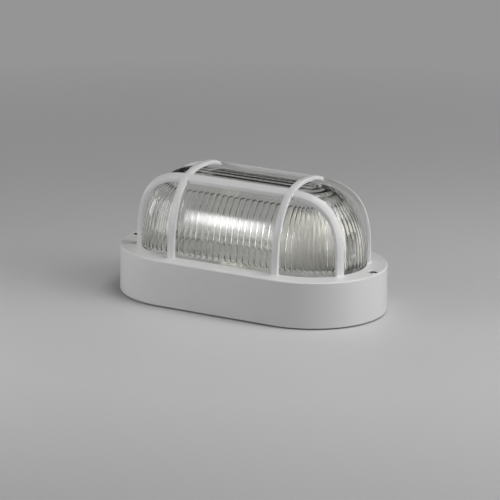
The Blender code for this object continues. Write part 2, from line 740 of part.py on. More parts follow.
def cover_screws(finish, rubber):
    """The two screws in the rim, each with a cross recess and a sealing ring."""
    ring_low = COUNTERBORE_FLOOR + FIT
    seat = ring_low + SEAL_RING_THICKNESS + FIT
    top = seat + COVER_SCREW_HEAD_HEIGHT
    length = seat - POST_TOP + COVER_SCREW_GRIP
    for side, word in ((-1, "left"), (1, "right")):
        place = (side * COVER_SCREW_X, 0, seat)
        profile = screw_profile(COVER_SCREW_RADIUS, length, COVER_SCREW_HEAD, COVER_SCREW_HEAD_HEIGHT)
        screw = turned(f"cover_screw_{word}", profile, finish, place)
        builder = bmesh.new()
        arm = RECESS_WIDTH / 2
        reach = RECESS_LENGTH / 2
        cross = [
            (reach, -arm), (reach, arm), (arm, arm), (arm, reach), (-arm, reach), (-arm, arm),
            (-reach, arm), (-reach, -arm), (-arm, -arm), (-arm, -reach), (arm, -reach), (arm, -arm),
        ]
        outline = [(place[0] + x, place[1] + y) for x, y in cross]
        add_prism(builder, outline, top - RECESS_DEPTH, top + RECESS_DEPTH)
        combine(screw, add_object(f"guide_recess_{word}", builder, None), "DIFFERENCE")
        inner = COVER_SCREW_RADIUS + SHANK_FIT
        outer = COVER_SCREW_HEAD - FIT
        high = ring_low + SEAL_RING_THICKNESS
        section = [(outer, ring_low), (outer, high), (inner, high), (inner, ring_low)]
        ring_place = (side * COVER_SCREW_X, 0, 0)
        turned(f"screw_seal_{word}", section, rubber, ring_place, facets=HIDDEN_FACETS, closed=True)


# Back pan

def pan_additions():
    """What stands on the floor of the pan: posts, pads, the earth boss and slot collars."""
    builder = bmesh.new()
    root = PAN_FLOOR / 2
    for side in (-1, 1):
        post = [(POST_RADIUS, root), (POST_RADIUS, POST_TOP)]
        add_turned(builder, post, (side * COVER_SCREW_X, 0, 0))
        pad = [(BLOCK_PAD_RADIUS, root), (BLOCK_PAD_RADIUS, PAN_FLOOR + BLOCK_PAD_HEIGHT)]
        add_turned(builder, pad, (BLOCK_X, side * BLOCK_EAR_Y, 0), facets=SCREW_FACETS)
    boss = [(EARTH_BOSS_RADIUS, root), (EARTH_BOSS_RADIUS, PAN_FLOOR + EARTH_BOSS_HEIGHT)]
    add_turned(builder, boss, (EARTH_X, EARTH_Y, 0), facets=HIDDEN_FACETS)
    wide = 2 * COLLAR_WALL
    for place in SLOT_PLACES:
        collar = slot_outline(place, SLOT_LENGTH + wide, SLOT_WIDTH + wide)
        add_prism(builder, collar, root, PAN_FLOOR + COLLAR_HEIGHT)
    near = BRACKET_X - BRACKET_FOOT
    far = BRACKET_X + BRACKET_SHEET
    half = BRACKET_WIDTH / 2
    pad = [(near, -half), (far, -half), (far, half), (near, half)]
    add_prism(builder, pad, root, PAN_FLOOR + BRACKET_PAD_HEIGHT)
    additions = add_object("guide_pan_additions", builder, None)
    edge = PAN_RADIUS - PAN_WALL / 4
    envelope = [(edge, -PAN_FLOOR), (edge, COVER_HEIGHT)]
    trim = stadium_solid("guide_post_trim", envelope, None, steps=HIDDEN_STEPS)
    combine(additions, trim, "INTERSECT")
    return additions


def bracket_screw_places():
    """Where the two screws go through the bracket's foot."""
    middle = BRACKET_X - BRACKET_FOOT / 2
    return [middle - BRACKET_SCREW_SPACING / 2, middle + BRACKET_SCREW_SPACING / 2]


def pan_cuts():
    """Holes in the pan: slots, cable entry, screw holes and the recess for the grommet."""
    builder = bmesh.new()
    below = -PAN_FLOOR
    above = PAN_FLOOR + COLLAR_HEIGHT * 2
    for place in SLOT_PLACES:
        add_prism(builder, slot_outline(place, SLOT_LENGTH, SLOT_WIDTH), below, above)
    wide = ENTRY_RADIUS + GROMMET_FLANGE
    recess = GROMMET_FLANGE_THICKNESS + FIT
    entry = [(wide, below), (wide, recess), (ENTRY_RADIUS, recess), (ENTRY_RADIUS, above)]
    add_turned(builder, entry, (GROMMET_X, 0, 0), facets=HIDDEN_FACETS)
    screw = COVER_SCREW_RADIUS + SHANK_FIT
    block = BLOCK_SCREW_RADIUS + SHANK_FIT
    block_top = PAN_FLOOR + BLOCK_PAD_HEIGHT
    block_depth = BLOCK_SCREW_LENGTH - BLOCK_BASE
    for side in (-1, 1):
        bore = [(screw, POST_TOP - COVER_SCREW_GRIP - FIT), (screw, POST_TOP * 1.1)]
        add_turned(builder, bore, (side * COVER_SCREW_X, 0, 0))
        bore = [(block, block_top - block_depth - FIT), (block, block_top * 1.5)]
        add_turned(builder, bore, (BLOCK_X, side * BLOCK_EAR_Y, 0), facets=SCREW_FACETS)
    earth = EARTH_SCREW_RADIUS + SHANK_FIT
    earth_top = PAN_FLOOR + EARTH_BOSS_HEIGHT
    depth = EARTH_SCREW_LENGTH - WASHER_THICKNESS - TAG_SHEET
    bore = [(earth, earth_top - depth), (earth, earth_top * 1.5)]
    add_turned(builder, bore, (EARTH_X, EARTH_Y, 0), facets=SCREW_FACETS)
    foot = BRACKET_SCREW_RADIUS + SHANK_FIT
    foot_top = PAN_FLOOR + BRACKET_PAD_HEIGHT
    depth = BRACKET_SCREW_LENGTH - BRACKET_SHEET
    bore = [(foot, foot_top - depth - FIT), (foot, foot_top * 1.5)]
    for x in bracket_screw_places():
        add_turned(builder, bore, (x, 0, 0), facets=SCREW_FACETS)
    return add_object("guide_pan_cuts", builder, None)


def back_pan(finish):
    """Tray that is screwed to the wall or ceiling, inside the skirt."""
    inside = PAN_RADIUS - PAN_WALL
    corner = arc((inside - PAN_CORNER, PAN_FLOOR + PAN_CORNER), PAN_CORNER, 0, -90, 2)
    profile = [(PAN_RADIUS, 0.0), (PAN_RADIUS, PAN_DEPTH), (inside, PAN_DEPTH)] + corner
    pan = stadium_solid("back_pan", profile, finish, steps=HIDDEN_STEPS)
    combine(pan, pan_additions(), "UNION")
    combine(pan, pan_cuts(), "DIFFERENCE")
    outer = PAN_RADIUS - WALL_SEAL_INSET + FIT
    inner = outer - WALL_SEAL_WIDTH - 2 * FIT
    high = WALL_SEAL_HEIGHT + FIT
    groove = [(outer, -PAN_FLOOR), (outer, high), (inner, high), (inner, -PAN_FLOOR)]
    guide = stadium_solid("guide_seal_groove", groove, None, closed=True, steps=HIDDEN_STEPS)
    combine(pan, guide, "DIFFERENCE")
    return pan


def wall_gasket(finish):
    """Foam ring in the groove of the pan's back."""
    outer = PAN_RADIUS - WALL_SEAL_INSET
    inner = outer - WALL_SEAL_WIDTH
    ring = [(outer, 0.0), (outer, WALL_SEAL_HEIGHT), (inner, WALL_SEAL_HEIGHT), (inner, 0.0)]
    stadium_solid("wall_gasket", ring, finish, closed=True, steps=HIDDEN_STEPS)


def cable_grommet(finish):
    """Rubber grommet snapped into the cable entry, open through its nozzle."""
    wide = ENTRY_RADIUS + GROMMET_FLANGE - FIT
    neck = ENTRY_RADIUS - FIT
    top = PAN_FLOOR + FIT + GROMMET_FLANGE_THICKNESS
    nozzle = GROMMET_BORE + GROMMET_FLANGE_THICKNESS
    section = [
        (wide, 0.0),
        (wide, GROMMET_FLANGE_THICKNESS),
        (neck, GROMMET_FLANGE_THICKNESS),
        (neck, PAN_FLOOR + FIT),
        (wide, PAN_FLOOR + FIT),
        (wide, top),
        (neck, top),
        (nozzle, top + GROMMET_NOZZLE),
        (GROMMET_BORE, top + GROMMET_NOZZLE),
        (GROMMET_BORE, 0.0),
    ]
    turned("cable_grommet", section, finish, (GROMMET_X, 0, 0), facets=HIDDEN_FACETS, closed=True)


# Lamp holder

def lamp_holder_body(finish):
    """Turned porcelain holder, bored from its mouth, with two blind holes for the leads."""
    skirt_end = HOLDER_MOUTH_X + HOLDER_SKIRT_LENGTH
    profile = [
        (BORE_RADIUS, HOLDER_MOUTH_X),
        (HOLDER_RADIUS - HOLDER_EDGE, HOLDER_MOUTH_X),
        (HOLDER_RADIUS, HOLDER_MOUTH_X + HOLDER_EDGE),
        (HOLDER_RADIUS, skirt_end),
        (HOLDER_REAR_RADIUS, skirt_end + HOLDER_TAPER),
        (HOLDER_REAR_RADIUS, HOLDER_REAR_X - HOLDER_EDGE),
        (HOLDER_REAR_RADIUS - HOLDER_EDGE, HOLDER_REAR_X),
    ]
    section = [(BORE_RADIUS, BORE_FLOOR_X)] + profile
    body = turned("lamp_holder_body", section, finish, (0, 0, HOLDER_AXIS_Z), "X", HOLDER_FACETS)

    holes = bmesh.new()
    radius = LEAD_RADIUS + LEAD_FIT
    for side in (-1, 1):
        bore = [(radius, HOLDER_AXIS_Z - HOLDER_REAR_RADIUS - HOLDER_EDGE), (radius, lead_end_z() + FIT)]
        add_turned(holes, bore, (lead_end_x(), side * LEAD_SIDE_Y, 0), facets=SCREW_FACETS)
    hole = BRACKET_SCREW_RADIUS + SHANK_FIT
    depth = HOLDER_SCREW_LENGTH - BRACKET_SHEET
    for z in holder_screw_heights():
        bore = [(hole, HOLDER_REAR_X - depth - FIT), (hole, HOLDER_REAR_X + depth)]
        add_turned(holes, bore, (0, 0, z), axis="X", facets=SCREW_FACETS)
    pilot = CONTACT_SCREW_RADIUS + SHANK_FIT
    for side in (-1, 1):
        bore = [(pilot, BORE_FLOOR_X - FIT), (pilot, BORE_FLOOR_X + CONTACT_SCREW_LENGTH)]
        place = (0, 0, HOLDER_AXIS_Z + side * CONTACT_SCREW_OFFSET)
        add_turned(holes, bore, place, axis="X", facets=SCREW_FACETS)
    combine(body, add_object("guide_holder_holes", holes, None), "DIFFERENCE")
    return body


def lamp_holder_shell(finish):
    """Sheet shell rolled to the round thread of the lamp cap."""
    rows = round(SHELL_LENGTH / SHELL_THREAD_PITCH * 2.5)
    start = HOLDER_MOUTH_X + SHELL_SETBACK
    outside = []
    inside = []
    for row in range(rows + 1):
        along = SHELL_LENGTH * row / rows
        outer_ring = []
        inner_ring = []
        for facet in range(SHELL_FACETS):
            angle = 2 * math.pi * facet / SHELL_FACETS
            wave = math.cos(2 * math.pi * along / SHELL_THREAD_PITCH - angle)
            radius = SHELL_RADIUS + SHELL_THREAD_DEPTH * wave
            for ring, extra in ((outer_ring, SHELL_SHEET), (inner_ring, 0.0)):
                y = (radius + extra) * math.cos(angle)
                z = HOLDER_AXIS_Z + (radius + extra) * math.sin(angle)
                ring.append((start + along, y, z))
        outside.append(outer_ring)
        inside.append(inner_ring)
    builder = bmesh.new()
    skin_rings(builder, outside + list(reversed(inside)), closed=True)
    return add_object("lamp_holder_shell", builder, finish, smooth=60.0)


def holder_contacts(brass):
    """The centre and side contacts, each a bent strip held by a small screw."""
    floor = BORE_FLOOR_X - FIT
    screw_low = HOLDER_AXIS_Z - CONTACT_SCREW_OFFSET
    foot = CONTACT_SCREW_RADIUS * 2.6
    centre = [
        (floor, screw_low - foot),
        (floor, HOLDER_AXIS_Z - foot / 2),
        (floor - CONTACT_RISE, HOLDER_AXIS_Z + foot / 2),
        (floor - CONTACT_RISE, HOLDER_AXIS_Z + foot),
    ]
    free = (SHELL_RADIUS - SHELL_THREAD_DEPTH) * math.cos(math.pi / SHELL_FACETS)
    reach = math.sqrt(free ** 2 - (CONTACT_WIDTH / 2) ** 2) - FIT
    side = [
        (floor - CONTACT_RISE - SHELL_SETBACK, HOLDER_AXIS_Z + reach),
        (floor, HOLDER_AXIS_Z + reach),
        (floor, HOLDER_AXIS_Z + CONTACT_SCREW_OFFSET - foot),
    ]
    hole = CONTACT_SCREW_RADIUS + SHANK_FIT
    bore = [(hole, floor - 3 * CONTACT_SHEET), (hole, floor + CONTACT_SHEET)]
    for word, path, height in (
        ("centre", centre, screw_low),
        ("side", list(reversed(side)), HOLDER_AXIS_Z + CONTACT_SCREW_OFFSET),
    ):
        strip = folded_strip(f"{word}_contact", path, CONTACT_SHEET, CONTACT_WIDTH, brass)
        guide = turned(f"guide_{word}_contact_hole", bore, None, (0, 0, height), "X", SCREW_FACETS)
        combine(strip, guide, "DIFFERENCE")
        profile = screw_profile(
            CONTACT_SCREW_RADIUS, CONTACT_SCREW_LENGTH,
            CONTACT_SCREW_RADIUS * HEAD_WIDTH_SHARE, CONTACT_SCREW_RADIUS * HEAD_HEIGHT_SHARE,
        )
        profile = [(radius, -along) for radius, along in profile]
        seat = (floor - CONTACT_SHEET - FIT, 0, height)
        turned(f"{word}_contact_screw", profile, brass, seat, "X", SCREW_FACETS)


def lead_end_x():
    """Where the two leads go up into the rear of the holder."""
    return (HOLDER_MOUTH_X + HOLDER_SKIRT_LENGTH + HOLDER_TAPER + HOLDER_REAR_X) / 2


def lead_end_z():
    """How high the two leads reach inside the holder."""
    drop = math.sqrt(HOLDER_REAR_RADIUS ** 2 - LEAD_SIDE_Y ** 2)
    return HOLDER_AXIS_Z - drop + 2 * LEAD_RADIUS


def holder_screw_heights():
    """Heights of the two screws that hold the holder to its bracket."""
    return (HOLDER_AXIS_Z - HOLDER_SCREW_SPREAD, HOLDER_AXIS_Z + HOLDER_SCREW_SPREAD)


def holder_bracket(steel, zinc):
    """Strip folded up behind the holder and screwed to the pan, with its four screws."""
    foot_z = PAN_FLOOR + BRACKET_PAD_HEIGHT + FIT
    top = HOLDER_AXIS_Z + BRACKET_ABOVE_AXIS
    far = BRACKET_X + BRACKET_SHEET
    path = [(BRACKET_X - BRACKET_FOOT, foot_z), (far, foot_z), (far, top)]
    bracket = folded_strip("holder_bracket", path, BRACKET_SHEET, BRACKET_WIDTH, steel)
    holes = bmesh.new()
    hole = BRACKET_SCREW_RADIUS + SHANK_FIT
    for x in bracket_screw_places():
        bore = [(hole, foot_z - BRACKET_SHEET), (hole, foot_z + 2 * BRACKET_SHEET)]
        add_turned(holes, bore, (x, 0, 0), facets=SCREW_FACETS)
    for z in holder_screw_heights():
        bore = [(hole, BRACKET_X - BRACKET_SHEET), (hole, far + BRACKET_SHEET)]
        add_turned(holes, bore, (0, 0, z), axis="X", facets=SCREW_FACETS)
    combine(bracket, add_object("guide_bracket_holes", holes, None), "DIFFERENCE")
    for number, x in enumerate(bracket_screw_places(), start=1):
        seat = (x, 0, foot_z + BRACKET_SHEET + FIT)
        add_screw(f"bracket_screw_{number}", seat, zinc, BRACKET_SCREW_RADIUS, BRACKET_SCREW_LENGTH)
    for number, z in enumerate(holder_screw_heights(), start=1):
        seat = (far + FIT, 0, z)
        add_screw(f"holder_screw_{number}", seat, zinc, BRACKET_SCREW_RADIUS, HOLDER_SCREW_LENGTH, "X")


# Terminal block, earth point and leads

def terminal_block(finish, zinc):
    """Three-pole block with its clamp screws and the two screws that fix it."""
    low = BLOCK_UNDERSIDE
    shoulder = low + BLOCK_BASE
    top = low + BLOCK_HEIGHT
    half = POLE_WIDTH / 2
    end = BLOCK_EAR_Y + BLOCK_EAR / 2
    outline = [(-end, low), (end, low), (end, shoulder)]
    for pole in (1, 0, -1):
        near = pole * POLE_PITCH + half
        far = pole * POLE_PITCH - half
        outline += [(near, shoulder), (near, top), (far, top), (far, shoulder)]
    outline.append((-end, shoulder))
    builder = bmesh.new()
    ends = []
    for side in (-1, 1):
        x = BLOCK_X + side * BLOCK_LENGTH / 2
        ends.append([(x, y, z) for y, z in outline])
    skin_rings(builder, ends)
    block = add_object("terminal_block", builder, finish)

    wells = bmesh.new()
    wires = bmesh.new()
    wire = LEAD_RADIUS + LEAD_FIT
    number = 0
    for pole in (-1, 0, 1):
        y = pole * POLE_PITCH
        for side in (-1, 1):
            number += 1
            x = BLOCK_X + side * WELL_SPREAD
            well = [(WELL_RADIUS, top - WELL_DEPTH), (WELL_RADIUS, top + WELL_DEPTH)]
            add_turned(wells, well, (x, y, 0), facets=SCREW_FACETS)
            seat = (x, y, top - WELL_DEPTH + FIT)
            profile = [(WELL_RADIUS - FIT, 0.0), (WELL_RADIUS - FIT, CLAMP_SCREW_HEIGHT)]
            turned(f"terminal_screw_{number}", profile, zinc, seat, facets=SCREW_FACETS)
            face = BLOCK_X + side * BLOCK_LENGTH / 2
            deep = face - side * WIRE_HOLE_DEPTH
            bore = [(wire, min(deep, face + side * FIT)), (wire, max(deep, face + side * FIT))]
            add_turned(wires, bore, (0, y, WIRE_HOLE_Z), axis="X", facets=SCREW_FACETS)
    ear = BLOCK_SCREW_RADIUS + SHANK_FIT
    for side in (-1, 1):
        bore = [(ear, low - BLOCK_BASE / 2), (ear, shoulder + BLOCK_BASE)]
        add_turned(wells, bore, (BLOCK_X, side * BLOCK_EAR_Y, 0), facets=SCREW_FACETS)
    combine(block, add_object("guide_block_wells", wells, None), "DIFFERENCE")
    combine(block, add_object("guide_block_wires", wires, None), "DIFFERENCE")
    for number, side in enumerate((-1, 1), start=1):
        seat = (BLOCK_X, side * BLOCK_EAR_Y, shoulder + FIT)
        add_screw(f"block_screw_{number}", seat, zinc, BLOCK_SCREW_RADIUS, BLOCK_SCREW_LENGTH)


def earth_point(zinc, brass):
    """Washer, ring tag and screw on the pan's earth boss."""
    washer_low = PAN_FLOOR + EARTH_BOSS_HEIGHT + FIT
    tag_low = washer_low + WASHER_THICKNESS + FIT
    seat = tag_low + TAG_SHEET + FIT
    inner = EARTH_SCREW_RADIUS + SHANK_FIT
    outer = EARTH_BOSS_RADIUS
    place = (EARTH_X, EARTH_Y, 0)
    high = washer_low + WASHER_THICKNESS
    section = [(outer, washer_low), (outer, high), (inner, high), (inner, washer_low)]
    turned("earth_washer", section, zinc, place, facets=HIDDEN_FACETS, closed=True)

    tag_outer = outer * 0.9
    tail = LEAD_RADIUS
    start = math.asin(tail / tag_outer)
    outline = []
    for step in range(HIDDEN_FACETS + 1):
        angle = math.pi + start + (2 * math.pi - 2 * start) * step / HIDDEN_FACETS
        outline.append((EARTH_X + tag_outer * math.cos(angle), EARTH_Y + tag_outer * math.sin(angle)))
    outline += [(EARTH_X - TAG_TAIL, EARTH_Y + tail), (EARTH_X - TAG_TAIL, EARTH_Y - tail)]
    builder = bmesh.new()
    add_prism(builder, outline, tag_low, tag_low + TAG_SHEET)
    tag = add_object("earth_tag", builder, brass)
    bore = [(inner, tag_low - TAG_SHEET / 2), (inner, tag_low + 2 * TAG_SHEET)]
    combine(tag, turned("guide_tag_hole", bore, None, place, facets=HIDDEN_FACETS), "DIFFERENCE")
    place = (EARTH_X, EARTH_Y, seat)
    add_screw("earth_screw", place, brass, EARTH_SCREW_RADIUS, EARTH_SCREW_LENGTH, facets=HIDDEN_FACETS)


def smooth_path(points, steps=2):
    """A Catmull-Rom curve through the points, so that a lead bends as wire does."""
    knots = [Vector(point) for point in points]
    knots = [knots[0] * 2 - knots[1]] + knots + [knots[-1] * 2 - knots[-2]]
    path = []
    for place in range(1, len(knots) - 2):
        a, b, c, d = knots[place - 1:place + 3]
        for step in range(steps):
            t = step / steps
            path.append(0.5 * (2 * b + (c - a) * t + (2 * a - 5 * b + 4 * c - d) * t ** 2
                               + (3 * b - a - 3 * c + d) * t ** 3))
    path.append(knots[-2])
    return path


def lead(name, points, finish):
    """An insulated lead: a round tube along its route."""
    path = smooth_path(points)
    curve = bpy.data.curves.new(name, "CURVE")
    curve.dimensions = "3D"
    curve.bevel_depth = LEAD_RADIUS
    curve.bevel_resolution = 2
    curve.render_resolution_u = 0
    curve.use_fill_caps = True
    spline = curve.splines.new("POLY")
    spline.points.add(len(path) - 1)
    for vertex, point in zip(spline.points, path):
        vertex.co = (*point, 1.0)
    curve.materials.append(finish)
    thing = bpy.data.objects.new(name, curve)
    bpy.context.collection.objects.link(thing)
    return thing


def leads(brown, blue, green):
    """Live and neutral from the block to the holder, and the earth lead to its tag."""
    face = BLOCK_X + BLOCK_LENGTH / 2
    start_x = face - WIRE_HOLE_DEPTH + FIT
    leave_x = face + LEAD_LEAVE
    low = LEAD_FLOOR_Z + FIT
    end_x = lead_end_x()
    end_z = lead_end_z()
    for name, side, finish in (("lead_live", -1, brown), ("lead_neutral", 1, blue)):
        block_y = side * POLE_PITCH
        pass_y = side * LEAD_SIDE_Y
        points = [
            (start_x, block_y, WIRE_HOLE_Z),
            (leave_x, block_y, WIRE_HOLE_Z),
            (leave_x + LEAD_DROP_RUN, block_y, low + LEAD_RADIUS),
            (leave_x + LEAD_DROP_RUN + LEAD_CROSS_RUN, (block_y + pass_y) / 2, low),
            (end_x - 4 * LEAD_BEND, pass_y, low),
            (end_x - LEAD_BEND, pass_y, low + LEAD_BEND),
            (end_x, pass_y, low + 3 * LEAD_BEND),
            (end_x, pass_y, end_z - LEAD_BEND),
            (end_x, pass_y, end_z),
        ]
        lead(name, points, finish)
    tag_z = PAN_FLOOR + EARTH_BOSS_HEIGHT + 2 * FIT + WASHER_THICKNESS + TAG_SHEET / 2
    tag_x = EARTH_X - TAG_TAIL - FIT
    points = [
        (start_x, 0.0, WIRE_HOLE_Z),
        (leave_x, 0.0, WIRE_HOLE_Z),
        (leave_x + LEAD_LOOP, EARTH_Y * 0.15, WIRE_HOLE_Z),
        (leave_x + LEAD_DROP_RUN, EARTH_Y / 2, WIRE_HOLE_Z),
        (tag_x - LEAD_LOOP, EARTH_Y * 0.85, tag_z),
        (tag_x - LEAD_BEND, EARTH_Y, tag_z),
        (tag_x, EARTH_Y, tag_z),
    ]
    lead("lead_earth", points, green)


def build():
    """Make every piece of the light."""
    clear_scene()
    white = material("white_enamel", (0.80, 0.80, 0.78), 0.35)
    glass = material("clear_glass", (0.93, 0.95, 0.93), 0.05, transmission=1.0)
    rubber = material("black_rubber", (0.03, 0.03, 0.03), 0.7)
    silicone = material("pale_silicone", (0.62, 0.60, 0.55), 0.6)
    foam = material("grey_foam", (0.12, 0.12, 0.12), 0.9)
    steel = material("spring_steel", (0.55, 0.55, 0.56), 0.3, metallic=1.0)
    zinc = material("zinc_screws", (0.62, 0.62, 0.60), 0.35, metallic=1.0)
    brass = material("brass", (0.78, 0.60, 0.30), 0.3, metallic=1.0)
    porcelain = material("white_porcelain", (0.86, 0.85, 0.81), 0.2)
    nylon = material("natural_nylon", (0.75, 0.74, 0.69), 0.5)
    brown = material("brown_insulation", (0.20, 0.08, 0.04), 0.5)
    blue = material("blue_insulation", (0.05, 0.15, 0.45), 0.5)
    green = material("green_yellow_insulation", (0.35, 0.50, 0.08), 0.5)

    front_cover(white)
    glass_dome(glass)
    glass_gasket(silicone)
    glass_clips(steel, zinc)
    cover_screws(zinc, rubber)
    back_pan(white)
    wall_gasket(foam)
    cable_grommet(rubber)
    lamp_holder_body(porcelain)
    lamp_holder_shell(brass)
    holder_contacts(brass)
    holder_bracket(steel, zinc)
    terminal_block(nylon, zinc)
    earth_point(zinc, brass)
    leads(brown, blue, green)


build()
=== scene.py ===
# %% [markdown]
# An oval caged ceiling light
#
# The light lies on its back: a white one-piece cover whose skirt, rim and cage are a single
# casting, a thick pressed glass with flutes on its inside, two sunk screws, and the lamp
# holder that shows through the glass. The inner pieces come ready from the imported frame.
# This lesson adds the camera, the studio, the finishes, and finer versions of the pieces
# that carry the likeness: the cover, the glass, the screws and the lamp holder.

import json
import math

import bmesh
import bpy
from mathutils import Matrix, Vector


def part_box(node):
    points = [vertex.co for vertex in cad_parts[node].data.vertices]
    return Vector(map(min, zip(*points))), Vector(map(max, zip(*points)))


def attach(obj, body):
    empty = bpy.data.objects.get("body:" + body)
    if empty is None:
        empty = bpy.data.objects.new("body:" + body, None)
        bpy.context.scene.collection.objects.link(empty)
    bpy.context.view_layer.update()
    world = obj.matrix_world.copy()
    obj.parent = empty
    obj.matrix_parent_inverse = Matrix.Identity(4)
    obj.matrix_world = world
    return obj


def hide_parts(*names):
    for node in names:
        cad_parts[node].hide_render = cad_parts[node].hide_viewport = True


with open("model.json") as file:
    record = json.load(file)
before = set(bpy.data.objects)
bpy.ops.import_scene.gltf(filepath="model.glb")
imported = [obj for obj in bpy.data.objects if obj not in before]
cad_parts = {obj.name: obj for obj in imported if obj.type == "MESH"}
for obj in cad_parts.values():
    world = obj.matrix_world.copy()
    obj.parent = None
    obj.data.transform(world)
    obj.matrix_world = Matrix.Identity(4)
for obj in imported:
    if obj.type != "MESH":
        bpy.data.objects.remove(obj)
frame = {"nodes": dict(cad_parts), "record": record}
nodes = frame["nodes"]
plain_finishes = list(bpy.data.materials)
for plain in plain_finishes:
    plain.name = "plain_" + plain.name
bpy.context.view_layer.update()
print("pieces in the frame:", len(nodes))

# %% [markdown]
# The camera stands low and well back, a little to the right of the front, with a long
# lens. A long lens keeps the two rails nearly parallel, as the photographed light shows
# them. Its direction is written as a turn round the light and a height above the floor.

# %% Camera
CAMERA_TURN = math.radians(29.10)
CAMERA_HEIGHT = math.radians(15.33)
CAMERA_ROLL = math.radians(0.95)
CAMERA_DISTANCE = 2.4994
CAMERA_ASIDE = -0.00162
CAMERA_ABOVE = 0.03555
LENS = 242.11
SENSOR_WIDTH = 36.0
FAR_CLIP = 50.0


def add_object(name, data):
    """A new object in the scene, unturned and at the origin."""
    item = bpy.data.objects.new(name, data)
    bpy.context.scene.collection.objects.link(item)
    return item


def stand_at(item, place, wide, tall, away):
    """Puts a camera or a lamp at a place, with its own right, up and backward directions."""
    rows = [(wide[axis], tall[axis], away[axis], place[axis]) for axis in range(3)]
    item.matrix_world = Matrix((*rows, (0.0, 0.0, 0.0, 1.0)))


back = Vector((
    math.sin(CAMERA_TURN) * math.cos(CAMERA_HEIGHT),
    -math.cos(CAMERA_TURN) * math.cos(CAMERA_HEIGHT),
    math.sin(CAMERA_HEIGHT),
))
level_right = Vector((math.cos(CAMERA_TURN), math.sin(CAMERA_TURN), 0.0))
level_up = back.cross(level_right)
right = level_right * math.cos(CAMERA_ROLL) + level_up * math.sin(CAMERA_ROLL)
up = level_up * math.cos(CAMERA_ROLL) - level_right * math.sin(CAMERA_ROLL)
stand = right * CAMERA_ASIDE + up * CAMERA_ABOVE + back * CAMERA_DISTANCE

lens = bpy.data.cameras.new("camera")
lens.lens = LENS
lens.sensor_width = SENSOR_WIDTH
lens.clip_end = FAR_CLIP
camera = add_object("camera", lens)
stand_at(camera, stand, right, up, back)
bpy.context.scene.camera = camera
bpy.context.scene.view_settings.view_transform = "Standard"
print("camera stands at", [round(value, 3) for value in stand])

# %% [markdown]
# Node trees are easier to read as sums than as boxes and strings. The class below wraps
# one output of a node, so that plus, minus and times add Math nodes by themselves. The
# same class serves the finishes and the Geometry Nodes further down.

# %% A wire that can be added and multiplied
class Wire:
    """One output of a node, on which arithmetic makes Math nodes."""

    def __init__(self, tree, socket):
        self.tree = tree
        self.socket = socket

    def math(self, operation, *others, flip=False):
        node = self.tree.nodes.new("ShaderNodeMath")
        node.operation = operation
        values = [self, *others]
        if flip:
            values.reverse()
        for place, value in enumerate(values):
            plug(self.tree, node.inputs[place], value)
        return Wire(self.tree, node.outputs[0])

    def __add__(self, other):
        return self.math("ADD", other)

    def __sub__(self, other):
        return self.math("SUBTRACT", other)

    def __rsub__(self, other):
        return self.math("SUBTRACT", other, flip=True)

    def __mul__(self, other):
        return self.math("MULTIPLY", other)

    def __truediv__(self, other):
        return self.math("DIVIDE", other)

    def clamped(self):
        return self.math("MAXIMUM", 0.0).math("MINIMUM", 1.0)


def plug(tree, socket, value):
    """Links a wire to a socket, or sets the socket to a plain value."""
    if isinstance(value, Wire):
        tree.links.new(value.socket, socket)
    else:
        socket.default_value = value


def add_node(tree, kind, settings=None, sockets=None, output=0):
    """Adds a node of a kind, with its settings first and its sockets after."""
    node = tree.nodes.new(kind)
    for name, value in (settings or {}).items():
        setattr(node, name, value)
    for name, value in (sockets or {}).items():
        plug(tree, node.inputs[name], value)
    return Wire(tree, node.outputs[output])


print("wires are ready")

# %% [markdown]
# Finishes come next. Each one starts from a plain Principled shader whose even values are
# set on its own sockets. Whatever varies over the surface is worked out from Object
# coordinates, so that it stays on the piece and looks the same from every side.

# %% Helpers for finishes
NOISE_LOW, NOISE_HIGH = 0.3, 0.7
finishes = {}


def new_finish(name, colour, roughness, **even):
    """A material with one Principled shader, and the tools to vary it."""
    finish = bpy.data.materials.new(name)
    finish.use_nodes = True
    finishes[name] = finish
    shader = finish.node_tree.nodes["Principled BSDF"]
    shader.inputs["Base Color"].default_value = (*colour, 1.0)
    shader.inputs["Roughness"].default_value = roughness
    for socket, value in even.items():
        shader.inputs[socket.replace("_", " ")].default_value = value
    return finish.node_tree, shader


def place_on(tree):
    """Object coordinates."""
    return add_node(tree, "ShaderNodeTexCoord", output="Object")


def axis_of(tree, where, name):
    """One coordinate of a place."""
    return add_node(tree, "ShaderNodeSeparateXYZ", sockets={"Vector": where}, output=name)


def grain(tree, where, size, detail=3.0):
    """Soft noise from 0 to 1 whose features are about the given size in metres."""
    sockets = {"Vector": where, "Scale": 1.0 / size, "Detail": detail}
    return add_node(tree, "ShaderNodeTexNoise", sockets=sockets)


def spread(value, low, high):
    """Noise, most of which lies in its usual range, stretched to run from low to high."""
    return ((value - NOISE_LOW) / (NOISE_HIGH - NOISE_LOW)).clamped() * (high - low) + low


def tint(tree, mask, first, second):
    """A colour that goes from the first to the second as the mask goes from 0 to 1."""
    node = tree.nodes.new("ShaderNodeMix")
    node.data_type = "RGBA"
    plug(tree, node.inputs["Factor"], mask)
    for socket, value in (("A_Color", first), ("B_Color", second)):
        target = next(one for one in node.inputs if one.identifier == socket)
        plug(tree, target, value if isinstance(value, Wire) else (*value, 1.0))
    result = next(one for one in node.outputs if one.identifier == "Result_Color")
    return Wire(tree, result)


def relief(tree, shader, height, distance, strength=1.0):
    """Bump from a height of 0 to 1, of so many metres."""
    sockets = {"Strength": strength, "Distance": distance, "Height": height}
    plug(tree, shader.inputs["Normal"], add_node(tree, "ShaderNodeBump", sockets=sockets))


def mix_shaders(tree, factor, first, second):
    """The first shader where the factor is 0, and the second where it is 1."""
    return add_node(tree, "ShaderNodeMixShader", sockets={"Fac": factor, 1: first, 2: second})


